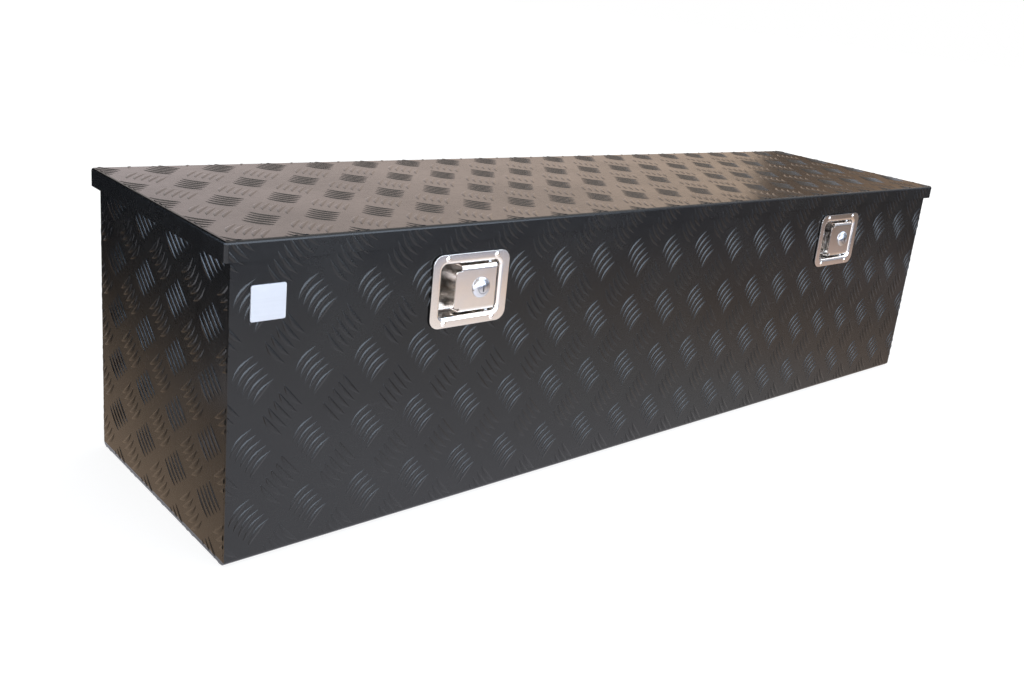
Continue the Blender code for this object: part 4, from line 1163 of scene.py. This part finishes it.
@dataclass
class PaddleLatch:
    """Recessed paddle latch with a key lock.

    Its own X runs to the right, Y up and Z out of the front wall, with zero at the wall's outer
    face.
    """

    side: Side
    centre_x: float
    flange: Triple = (100 * MM, 79.5 * MM, 12 * MM)
    flange_level: float = 2.8 * MM
    sheet: float = 1.2 * MM
    cup: Triple = (75 * MM, 56.5 * MM, 6 * MM)
    cup_depth: float = 22 * MM
    mouth_bend: float = 4.6 * MM
    floor_bend: float = 2 * MM
    bend_steps: int = 6
    corner_steps: int = 10
    edge: float = 0.35 * MM
    lever_slot: tuple[float, float, float, float] = (13 * MM, 23.2 * MM, 33 * MM, 26.4 * MM)
    paddle_half: float = 26 * MM
    paddle_span: tuple[float, float] = (-12 * MM, 34 * MM)
    paddle_level: float = 2.3 * MM
    paddle_sheet: float = 1.5 * MM
    paddle_bend: float = 4.2 * MM
    paddle_edge: float = 0.3 * MM
    cheek_depth: float = 14 * MM
    tongue: float = 7.5 * MM
    tongue_span: tuple[float, float] = (-20.8 * MM, 20 * MM)
    tongue_corner: float = 3 * MM
    lever: tuple[float, float] = (26.5 * MM, 31.5 * MM)
    lever_tip: float = 30 * MM
    lock_x: float = 14.3 * MM
    bezel: Triple = (11.5 * MM, 6.25 * MM, 4.4 * MM)
    bezel_lift: float = 0.3 * MM
    bezel_steps: int = 14
    barrel: tuple[float, float] = (9 * MM, 14 * MM)
    plug: float = 6 * MM
    plug_edge: float = 0.3 * MM
    plug_steps: int = 6
    stud: tuple[float, float] = (2.5 * MM, 18 * MM)
    keyway: Triple = (1.7 * MM, 7.5 * MM, 6 * MM)
    rivet_at: tuple[float, float] = (32 * MM, 35 * MM)
    rivet_head: tuple[float, float] = (3.5 * MM, 1.35 * MM)
    rivet_sunk: float = 0.25 * MM
    rivet_steps: int = 10
    rivet_tail: tuple[tuple[float, float], ...] = (
        (1.6 * MM, -2.3 * MM),
        (2.3 * MM, -2.3 * MM),
        (2.4 * MM, -2.8 * MM),
        (2.1 * MM, -4.2 * MM),
        (0, -4.5 * MM),
    )

    def place(self, mesh: bmesh.types.BMesh, x: float = 0.0, y: float = 0.0) -> bmesh.types.BMesh:
        """Moves a shape from the latch's own axes to the front wall.

        Args:
            mesh: the shape.
            x: how far to the right of the latch's middle it goes.
            y: how far above it.

        Returns:
            The same shape.
        """
        centre = (self.centre_x + x, FRONT_Y, LATCH_Z + y)
        move = Matrix.Translation(centre) @ Matrix.Rotation(math.pi / 2, 4, "X")
        bmesh.ops.transform(mesh, matrix=move, verts=mesh.verts)
        return mesh

    def own(self, name: str) -> str:
        """Adds the latch's side to a name."""
        return f"{name}_{self.side.value}"

    def pan_rows(self) -> list[tuple[float, float, float, float]]:
        """Lists the outlines of the pan's front and back skin.

        Returns:
            Width, height, corner and level, from the middle of the front to that of the back.
        """
        width, height, corner = self.flange
        cup_width, cup_height, cup_corner = self.cup
        top, mouth, bend = self.flange_level, self.mouth_bend, self.floor_bend
        floor = top - self.cup_depth
        inner, outer = mouth - self.sheet, bend + self.sheet
        arc = quarter_turn(self.bend_steps)
        front = [(bend * (c - 1), floor + bend * (1 - s)) for s, c in reversed(arc)]
        front += [(mouth * (1 - s), top - mouth * (1 - c)) for s, c in reversed(arc)]
        back = [(mouth - inner * s, top - mouth + inner * c) for s, c in arc]
        back += [(outer * c - bend, floor + bend - outer * s) for s, c in arc]
        skins = [
            [
                (cup_width + 2 * out, cup_height + 2 * out, cup_corner + out, level)
                for out, level in skin
            ]
            for skin in (front, back)
        ]
        rim = eased_edge(width, height, corner, top, self.edge)
        rim.append((width, height, corner, top - self.sheet))
        return skins[0] + rim + skins[1]

    def build_pan(self, rack: FinishRack) -> None:
        """Builds the drawn cup with its flange and lever slot.

        Args:
            rack: the materials.
        """
        mesh = stacked_plates(self.pan_rows(), self.corner_steps)
        floor = self.flange_level - self.cup_depth
        left, low, right, high = self.lever_slot
        slot = cuboid((left, low, floor - 3 * MM), (right, high, floor + 0.6 * MM))
        mesh = self.place(cut_away(mesh, slot))
        node = self.own("latch_pan")
        finished_piece(self.own("latch_cup"), mesh, rack, "latch_steel", "box", (node,), 40)

    def build_paddle(self, rack: FinishRack) -> None:
        """Builds the pull plate with its bent cheeks, tongue and lever.

        Args:
            rack: the materials.
        """
        mesh = bmesh.new()
        left, right = self.paddle_span
        flat = self.paddle_half - self.paddle_bend
        middle = Matrix.Translation(((left + right) / 2, 0, self.paddle_level))
        spread = Matrix.Diagonal((right - left, 2 * flat, 1, 1))
        bmesh.ops.create_grid(mesh, x_segments=1, y_segments=1, size=0.5, matrix=middle @ spread)
        for level in self.tongue_span:
            cut_at(mesh, (0, level, 0), (0, 1, 0))
        self.bend_cheek(mesh, flat, 1)
        self.bend_cheek(mesh, flat, -1)
        self.draw_lever(mesh)
        self.draw_tongue(mesh)
        bmesh.ops.recalc_face_normals(mesh, faces=mesh.faces)
        if max(mesh.faces, key=lambda face: face.calc_area()).normal.z < 0:
            bmesh.ops.reverse_faces(mesh, faces=mesh.faces)
        bmesh.ops.solidify(mesh, geom=mesh.faces[:], thickness=self.paddle_sheet)
        bmesh.ops.recalc_face_normals(mesh, faces=mesh.faces)
        softened(mesh, self.paddle_edge, 2, 50)
        name, body, node = (self.own(n) for n in ("pull_plate", "paddle_handle", "paddle"))
        finished_piece(name, self.place(mesh), rack, "latch_steel", body, (node,), 40)

    def bend_cheek(self, mesh: bmesh.types.BMesh, flat: float, up: int) -> None:
        """Bends one cheek of the paddle inwards.

        Args:
            mesh: the paddle's sheet.
            flat: half the height of its flat part.
            up: 1 for the upper cheek, -1 for the lower.
        """
        centre = self.paddle_level - self.paddle_bend
        row = [e for e in mesh.edges if all(abs(v.co.y - up * flat) < SAME for v in e.verts)]
        done = bmesh.ops.spin(
            mesh,
            geom=row + list(dict.fromkeys(v for e in row for v in e.verts)),
            cent=(0, up * flat, centre),
            axis=(1, 0, 0),
            angle=-up * math.pi / 2,
            steps=self.bend_steps,
            use_merge=False,
        )
        edge = [e for e in done["geom_last"] if isinstance(e, bmesh.types.BMEdge)]
        self.draw_out(mesh, edge, (0, 0, -self.cheek_depth - centre))

    def draw_out(
        self, mesh: bmesh.types.BMesh, edges: list[bmesh.types.BMEdge], way: Triple
    ) -> list[bmesh.types.BMVert]:
        """Extrudes edges of the paddle's sheet.

        Args:
            mesh: the sheet.
            edges: the edges.
            way: where and how far they go.

        Returns:
            The new corners.
        """
        done = bmesh.ops.extrude_edge_only(mesh, edges=edges)
        verts = [v for v in done["geom"] if isinstance(v, bmesh.types.BMVert)]
        bmesh.ops.translate(mesh, verts=verts, vec=way)
        return verts

    def draw_lever(self, mesh: bmesh.types.BMesh) -> None:
        """Draws the lever out of the upper cheek's end.

        Args:
            mesh: the paddle's sheet.
        """
        near, far = self.lever
        for x in self.lever:
            cut_at(mesh, (x, 0, 0), (1, 0, 0))
        end = [
            e
            for e in mesh.edges
            if all(v.co.y > 0 and abs(v.co.z + self.cheek_depth) < SAME for v in e.verts)
            and near < sum(v.co.x for v in e.verts) / 2 < far
        ]
        self.draw_out(mesh, end, (0, 0, self.cheek_depth - self.lever_tip))

    def draw_tongue(self, mesh: bmesh.types.BMesh) -> None:
        """Draws the narrower free end out of the paddle's left edge and rounds its corners.

        Args:
            mesh: the paddle's sheet.
        """
        left, level = self.paddle_span[0], self.paddle_level
        low, high = self.tongue_span
        end = [
            e
            for e in mesh.edges
            if all(abs(v.co.x - left) < SAME and abs(v.co.z - level) < SAME for v in e.verts)
            and abs(sum(v.co.y for v in e.verts) / 2 - (low + high) / 2) < 2 * MM
        ]
        corners = self.draw_out(mesh, end, (-self.tongue, 0, 0))
        bevelled(mesh, corners, self.tongue_corner, self.bend_steps, "VERTICES")

    def build_barrel(self, rack: FinishRack) -> None:
        """Builds the lock's barrel with its domed bezel.

        Args:
            rack: the materials.
        """
        rim, bore, rise = self.bezel
        base = self.paddle_level + self.bezel_lift
        start = math.asin((bore + 0.15 * MM) / rim)
        profile = [(bore, base + rise * math.cos(start) - self.edge)]
        for step in range(self.bezel_steps + 1):
            turn = start + (math.pi / 2 - start) * step / self.bezel_steps
            profile.append((rim * math.sin(turn), base + rise * math.cos(turn)))
        radius, depth = self.barrel
        profile += [(radius, base), (radius, -depth), (bore, -depth)]
        mesh = self.place(turned(profile, 64), self.lock_x)
        name, body, node = (self.own(n) for n in ("lock_bezel", "paddle_handle", "lock_barrel"))
        finished_piece(name, mesh, rack, "lock_chrome", body, (node,), 35)

    def build_plug(self, rack: FinishRack) -> None:
        """Builds the key plug, whose face follows the bezel's dome, with its keyway.

        Args:
            rack: the materials.
        """
        rim, _, rise = self.bezel
        base = self.paddle_level + self.bezel_lift
        end = -self.barrel[1] - self.plug_edge
        stud, stud_end = self.stud
        profile = []
        for step in range(self.plug_steps + 1):
            radius = (self.plug - 0.1 * MM) * step / self.plug_steps
            profile.append((radius, base + rise * math.cos(math.asin(radius / rim))))
        brim = base + rise * math.cos(math.asin(self.plug / rim)) - self.plug_edge
        profile += [(self.plug, brim), (self.plug, end), (stud, end)]
        profile += [(stud, -stud_end), (0, -stud_end)]
        width, height, depth = self.keyway
        top = base + rise
        low = (-width / 2, -height / 2, top - depth)
        mesh = cut_away(turned(profile, 48), cuboid(low, (width / 2, height / 2, top + MM)))
        mesh = self.place(mesh, self.lock_x)
        name, body, node = (
            self.own(n) for n in ("key_cylinder_face", "key_cylinder", "key_plug")
        )
        finished_piece(name, mesh, rack, "lock_chrome", body, (node,), 30)

    def build_rivets(self, rack: FinishRack) -> None:
        """Builds the four rivets through the flange.

        Args:
            rack: the materials.
        """
        radius, height = self.rivet_head
        base = self.flange_level - self.rivet_sunk
        shares = [step / self.rivet_steps for step in range(self.rivet_steps + 1)]
        profile = [(radius * out, base + height * (1 - out**2) ** 0.75) for out in shares]
        profile += [(self.rivet_tail[0][0], base), *self.rivet_tail]
        across, up = self.rivet_at
        mesh = bmesh.new()
        for x, y in ((-across, -up), (-across, up), (across, -up), (across, up)):
            join_in(mesh, self.place(turned(profile, 32), x, y))
        nodes = tuple(self.own("latch_rivet") + f"_{n}" for n in range(1, 5))
        name = self.own("latch_rivets")
        finished_piece(name, mesh, rack, "latch_steel", "box", nodes, 35)

    def build(self, rack: FinishRack) -> None:
        """Builds and dresses the whole latch.

        Args:
            rack: the materials.
        """
        self.build_pan(rack)
        self.build_paddle(rack)
        self.build_barrel(rack)
        self.build_plug(rack)
        self.build_rivets(rack)


@dataclass
class SquarePlate:
    """Bare square plate on the front."""

    side: float = 34.5 * MM
    corner: float = 2 * MM
    thickness: float = 1.5 * MM
    edge: float = 0.35 * MM
    corner_steps: int = 6

    def build(self, rack: FinishRack) -> None:
        """Builds the plate where its CAD node is.

        Args:
            rack: the materials.
        """
        low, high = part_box("badge_plate")
        rows = eased_edge(self.side, self.side, self.corner, self.thickness, self.edge)
        rows.append((self.side, self.side, self.corner, 0))
        mesh = stacked_plates(rows[::-1], self.corner_steps)
        centre = ((low[0] + high[0]) / 2, high[1], (low[2] + high[2]) / 2)
        move = Matrix.Translation(centre) @ Matrix.Rotation(math.pi / 2, 4, "X")
        bmesh.ops.transform(mesh, matrix=move, verts=mesh.verts)
        finished_piece("square_plate", mesh, rack, "badge_metal", "box", ("badge_plate",), 40)


@dataclass
class BoltSpring:
    """Coil spring between a latch's bolt and its guide, which shortens as the bolt slides back."""

    side: Side
    wire: float = 1 * MM
    turns: int = 6
    steps_per_turn: int = 18
    wire_sides: int = 10

    def build(self, rack: FinishRack) -> None:
        """Winds the spring where its CAD node is, attached to no body.

        Args:
            rack: the materials.
        """
        node = f"bolt_spring_{self.side.value}"
        low, high = (Vector(corner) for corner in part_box(node))
        middle = (low + high) / 2
        start = Vector((low.x + self.wire / 2, middle.y, middle.z))
        end = Vector((high.x - self.wire / 2, middle.y, middle.z))
        radius = (high.y - low.y - self.wire) / 2
        steps = self.turns * self.steps_per_turn
        mesh = bmesh.new()
        made = bmesh.ops.create_circle(
            mesh,
            segments=self.wire_sides,
            radius=self.wire / 2,
            matrix=Matrix.Translation(start + Vector((0, radius, 0))),
        )
        bmesh.ops.spin(
            mesh,
            geom=made["verts"] + list(mesh.edges),
            cent=start,
            axis=(1, 0, 0),
            dvec=(end - start) / steps,
            angle=2 * math.pi * self.turns,
            steps=steps,
        )
        bmesh.ops.holes_fill(mesh, edges=mesh.edges, sides=self.wire_sides)
        bmesh.ops.recalc_face_normals(mesh, faces=mesh.faces)
        name = f"wound_spring_{self.side.value}"
        spring = finished_piece(name, mesh, rack, "zinc_steel", None, (node,))
        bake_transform(spring)


@dataclass
class HingeFastenings:
    """Domed rivets through both leaves of the long hinge."""

    radius: float = 3.2 * MM
    height: float = 1.0 * MM
    sunk: float = 0.1 * MM
    steps: int = 5
    pitch: float = 100 * MM
    count: int = 12
    body_place: tuple[float, float] = (154.9 * MM, 277 * MM)
    lid_place: tuple[float, float] = (159.9 * MM, 310.5 * MM)
    lid_share: float = 0.8

    def row(self, place: tuple[float, float], radius: float) -> bmesh.types.BMesh:
        """Makes a row of domes that look backwards.

        Args:
            place: the leaf's outer face and the row's height.
            radius: radius of one dome.

        Returns:
            All domes of the row.
        """
        profile = [(0, -self.sunk), (radius, -self.sunk)]
        profile += [(radius * s, self.height * c) for s, c in reversed(quarter_turn(self.steps))]
        mesh = bmesh.new()
        for number in range(self.count):
            dome = turned(profile, 20)
            x = (number - (self.count - 1) / 2) * self.pitch
            move = Matrix.Translation((x, *place)) @ Matrix.Rotation(-math.pi / 2, 4, "X")
            bmesh.ops.transform(dome, matrix=move, verts=dome.verts)
            join_in(mesh, dome)
        return mesh

    def build(self, rack: FinishRack) -> None:
        """Builds the rivets of both leaves.

        Args:
            rack: the materials.
        """
        mesh = self.row(self.body_place, self.radius)
        finished_piece("hinge_rivets_body", mesh, rack, "hinge_steel", "box")
        mesh = self.row(self.lid_place, self.lid_share * self.radius)
        finished_piece("hinge_rivets_lid", mesh, rack, "hinge_steel", "lid")


# ---------------------------------------------------------------------------------------------
# Studio
# ---------------------------------------------------------------------------------------------


def stage_sheet(name: str, place: Matrix) -> tuple[bpy.types.Object, NodeBench]:
    """Puts a flat sheet into the studio.

    Args:
        name: name of the sheet and of its material.
        place: from a unit square round the origin to the sheet.

    Returns:
        The sheet, and a bench on its material's empty tree.
    """
    mesh = bmesh.new()
    bmesh.ops.create_grid(mesh, x_segments=1, y_segments=1, size=0.5, matrix=place)
    sheet = put_in(name, as_data(mesh, name))
    material = bpy.data.materials.new(name)
    material.use_nodes = True
    sheet.data.materials.append(material)
    bench = NodeBench(material.node_tree)
    bench.tree.nodes.clear()
    return sheet, bench


@dataclass(frozen=True)
class Softbox:
    """One soft rectangular lamp, which reflections don't show."""

    name: str
    place: Triple
    target: Triple
    size: tuple[float, float]
    power: float
    colour: Triple = (0.86, 0.93, 1.0)

    def build(self) -> None:
        """Hangs the lamp, turned towards its target."""
        lamp = bpy.data.lights.new(self.name, "AREA")
        lamp.shape = "RECTANGLE"
        lamp.size, lamp.size_y = self.size
        lamp.energy = self.power
        lamp.color = self.colour
        ob = put_in(self.name, lamp)
        way = Vector(self.target) - Vector(self.place)
        ob.location = self.place
        ob.rotation_euler = way.to_track_quat("-Z", "Y").to_euler()
        ob.visible_glossy = False


@dataclass(frozen=True)
class Card:
    """Glowing card that only reflections see, which paints a reflection of its colour onto the
    box's gloss: dark ones stand in for a photographer's flag, bright ones for a lamp.

    Untilted it lies flat; tilted by 90 degrees it stands and faces -Y before it is turned. With a
    second colour it fades to it along X.
    """

    name: str
    centre: Triple
    turn_deg: float
    tilt_deg: float
    size: tuple[float, float]
    colour: Triple
    toward: Triple | None = None

    def build(self) -> None:
        """Places the card and keeps it out of the camera's sight, diffuse light and shadows, so
        that only reflections show its glow.
        """
        tilt = Matrix.Rotation(math.radians(self.tilt_deg), 4, "X")
        turn = Matrix.Rotation(math.radians(self.turn_deg), 4, "Z")
        spread = Matrix.Diagonal((*self.size, 1, 1))
        place = Matrix.Translation(self.centre) @ turn @ tilt @ spread
        card, bench = stage_sheet(self.name, place)
        colour = (*self.colour, 1)
        if self.toward:
            ends = [vert.co.x for vert in card.data.vertices]
            where = {"Vector": bench.object_place()}
            along = bench.add("ShaderNodeSeparateXYZ", where).outputs["X"]
            share = bench.ramp(along, min(ends), max(ends), "LINEAR")
            colour = bench.blend(share, colour, (*self.toward, 1))
        glow = bench.add("ShaderNodeEmission", {"Color": colour, "Strength": 1.0})
        bench.add("ShaderNodeOutputMaterial", {"Surface": glow.outputs[0]})
        card.visible_camera = False
        card.visible_diffuse = False
        card.visible_shadow = False
        card.visible_transmission = False


LAMPS = (
    Softbox("front_softbox", (0.1, -3.0, 1.9), (0, 0, 0.15), (3.4, 1.8), 85),
    Softbox("overhead_softbox", (0.2, 0.2, 2.6), (0.2, 0.21, 0), (3.0, 2.0), 50),
)

CARDS = (
    # Mirrored by the left end
    Card("black_card", (-0.72, 1.25, 0.8), 78, 90, (2.0, 1.6), (0.008, 0.009, 0.012)),
    Card("far_black_card", (-1.75, 0.55, 1.0), 66, 90, (2.9, 2.0), (0.02, 0.022, 0.028)),
    Card("dark_floor_card", (-0.96, 0.79, 0.002), 0, 0, (0.28, 1.02), (0.03, 0.03, 0.034)),
    Card(
        "brown_card", (-0.715, 0.35, 0.004), 0, 0, (0.21, 1.7), (0.02, 0.02, 0.02),
        (0.74, 0.55, 0.40),
    ),
    Card("glint_card", (-1.44, 0.75, 0.42), 55, 90, (0.62, 0.44), (4.2, 5.2, 6.6)),
    # Mirrored by the front
    Card(
        "blue_front_card", (0.55, -1.24, 0.002), 0, 0, (1.7, 0.72), (0.54, 0.57, 0.70),
        (0.12, 0.15, 0.22),
    ),
    Card(
        "lip_card", (0.55, -1.37, 0.003), 0, 0, (1.7, 0.46), (0.30, 0.37, 0.52),
        (0.08, 0.10, 0.16),
    ),
    Card("wall_foot_card", (1.85, -0.3, 0.002), 0, 0, (1.3, 0.26), (0.75, 0.70, 0.70)),
    # Mirrored by the lid and the latches
    Card(
        "dark_card", (3.15, 1.16, 0.9), -60, 90, (1.45, 2.2), (0.10, 0.07, 0.05),
        (0.95, 0.64, 0.42),
    ),
    Card("warm_card", (3.0, -1.75, 0.8), 60, 90, (3.0, 1.6), (0.36, 0.39, 0.47)),
    Card(
        "pale_card", (1.53, 2.527, 1.1), -32, 90, (2.97, 2.2), (1.25, 1.1, 1.1),
        (1.08, 0.82, 0.62),
    ),
    # Painted glints on the bars and folds, from bright cards that only reflections see
    Card("bright_card", (0.35, -2.9, 0.54), 0, 90, (4.5, 0.88), (5.2, 6.0, 7.1)),
    Card("high_card", (0.35, -2.92, 1.65), 0, 90, (4.5, 1.3), (1.8, 2.1, 2.5)),
    # lid_flag glows mid grey and only reflections see it: it paints a mid-tone reflection on the
    # lid's top from behind, in place of the bright cards
    Card("lid_flag", (0, -0.165, 0.47), 0, 90, (1.9, 0.28), (0.85, 0.82, 0.80)),
    Card("left_front_card", (-2.75, -2.0, 0.5), -49.5, 90, (2.2, 1.0), (5.2, 6.0, 7.1)),
    Card("right_sky_card", (2.7, -0.1, 2.3), 90, 45, (1.8, 1.2), (3.0, 3.4, 4.0)),
    Card("sky_card", (1.5, -1.15, 2.3), 0, 0, (3.2, 1.6), (3.6, 4.7, 6.2)),
)


@dataclass
class Studio:
    """Pale floor, white surround, soft lamps, cards and the camera of the photograph."""

    floor_z: float = -1.2 * MM
    floor_size: float = 60.0
    floor_near: tuple[float, float] = (0.85, 1.2)
    floor_far: tuple[float, float] = (1.0, 3.0)
    shadowed: float = 0.22
    floor_colour: Triple = (0.8, 0.78, 0.75)
    # The floor as only reflections see it: painted reflection tones that fade along fade_way
    fade_way: Triple = (0.9, -0.45, 0)
    fade_span: tuple[float, float] = (-0.4, 2.6)
    fade_tones: tuple[tuple[float, Triple], ...] = (
        (0.06, (1.25, 1.25, 1.36)),
        (1.0, (0.10, 0.08, 0.065)),
        (0.22, (0.88, 0.84, 0.84)),
        (0.35, (0.70, 0.54, 0.44)),
        (0.47, (0.44, 0.34, 0.28)),
        (0.56, (0.52, 0.40, 0.36)),
        (0.75, (0.17, 0.125, 0.10)),
    )
    surround: Triple = (1.0, 0.93, 0.87)
    ambient: Triple = (0.42, 0.42, 0.4326)
    camera_place: Triple = (-0.99666, -0.95824, 0.55542)
    camera_forward: Triple = (0.682864, 0.672362, -0.285702)
    camera_up: Triple = (0.114879, 0.287386, 0.950901)
    lens: float = 35.805
    sensor: float = 36
    shift: tuple[float, float] = (-0.06531, -0.03962)
    clip: tuple[float, float] = (0.05, 100)

    def mirrored_floor(
        self, bench: NodeBench, where: bpy.types.NodeSocket
    ) -> bpy.types.NodeSocket:
        """Makes the floor's colour as only the box's reflections see it: painted reflection tones,
        bright, brown and dark, which fade along one way.

        Args:
            bench: where the nodes go.
            where: the floor's position.

        Returns:
            The colour.
        """
        reach = bench.add(
            "ShaderNodeVectorMath", {0: where, 1: self.fade_way}, operation="DOT_PRODUCT"
        ).outputs["Value"]
        return bench.gradient(bench.ramp(reach, *self.fade_span, "LINEAR"), self.fade_tones)

    def build_floor(self) -> None:
        """Lays a pale floor that shows white to the camera and keeps the box's shadow, and shows
        painted reflection tones to the box's gloss.
        """
        size = self.floor_size
        place = Matrix.Translation((0, 0, self.floor_z)) @ Matrix.Diagonal((size, size, 1, 1))
        _, bench = stage_sheet("studio_floor", place)
        path = bench.add("ShaderNodeLightPath").outputs
        seen = bench.math("MAXIMUM", path["Is Camera Ray"], path["Is Glossy Ray"])
        seen = bench.math("MAXIMUM", seen, path["Is Transmission Ray"])
        where = bench.object_place()
        far = bench.add("ShaderNodeVectorMath", {0: where}, operation="LENGTH").outputs["Value"]
        (near_tone, near), (far_tone, end) = self.floor_near, self.floor_far
        share = bench.ramp(far, near, end, "LINEAR")
        white = bench.blend(share, (*[near_tone] * 3, 1), (*[far_tone] * 3, 1))
        tint = bench.blend(path["Is Camera Ray"], self.mirrored_floor(bench, where), white)
        glow = bench.add("ShaderNodeEmission", {"Color": tint, "Strength": 1.0})
        shade = (*[self.shadowed] * 3, 1)
        shaded = bench.blend(path["Is Camera Ray"], (0.02, 0.02, 0.02, 1), shade)
        soft = bench.add("ShaderNodeBsdfDiffuse", {"Color": shaded})
        shown = bench.add("ShaderNodeAddShader", {0: glow.outputs[0], 1: soft.outputs[0]})
        plain = bench.add("ShaderNodeBsdfDiffuse", {"Color": (*self.floor_colour, 1)})
        sides = {0: seen, 1: plain.outputs[0], 2: shown.outputs[0]}
        mix = bench.add("ShaderNodeMixShader", sides)
        bench.add("ShaderNodeOutputMaterial", {"Surface": mix.outputs[0]})

    def build_world(self) -> None:
        """Sets a white surround for camera and reflections, and a plain grey for diffuse light."""
        world = bpy.data.worlds.new("studio")
        bpy.context.scene.world = world
        world.use_nodes = True
        bench = NodeBench(world.node_tree)
        bench.tree.nodes.clear()
        path = bench.add("ShaderNodeLightPath").outputs
        mirror = bench.math("MAXIMUM", path["Is Glossy Ray"], path["Is Transmission Ray"])
        colour = bench.blend(mirror, (*self.ambient, 1), (*self.surround, 1))
        colour = bench.blend(path["Is Camera Ray"], colour, (1, 1, 1, 1))
        sky = bench.add("ShaderNodeBackground", {"Color": colour, "Strength": 1.0})
        bench.add("ShaderNodeOutputWorld", {"Surface": sky.outputs[0]})

    def build_camera(self) -> None:
        """Places the camera as the photograph has it."""
        camera = bpy.data.cameras.new("photo_camera")
        camera.sensor_fit = "HORIZONTAL"
        camera.sensor_width = self.sensor
        camera.lens = self.lens
        camera.shift_x, camera.shift_y = self.shift
        camera.clip_start, camera.clip_end = self.clip
        forward = Vector(self.camera_forward)
        right = forward.cross(Vector(self.camera_up)).normalized()
        turn = Matrix((right, right.cross(forward), -forward)).transposed().to_4x4()
        ob = put_in("photo_camera", camera)
        ob.matrix_world = Matrix.Translation(self.camera_place) @ turn
        bpy.context.scene.camera = ob

    def build(self) -> None:
        """Builds the whole studio."""
        self.build_floor()
        self.build_world()
        self.build_camera()
        for piece in (*LAMPS, *CARDS):
            piece.build()
        bpy.context.scene.view_settings.view_transform = "Standard"


def main() -> None:
    """Builds the dressed box in its studio."""
    logging.basicConfig(level=logging.INFO, format="%(name)s: %(message)s")
    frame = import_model()
    rack = FinishRack()
    rack.dress_nodes(frame)
    Studio().build()
    TreadPlate().build(rack)
    for side, centre_x in zip(Side, LATCH_X):
        PaddleLatch(side, centre_x).build(rack)
    for side in Side:
        BoltSpring(side).build(rack)
    SquarePlate().build(rack)
    HingeFastenings().build(rack)


if __name__ == "__main__":
    main()
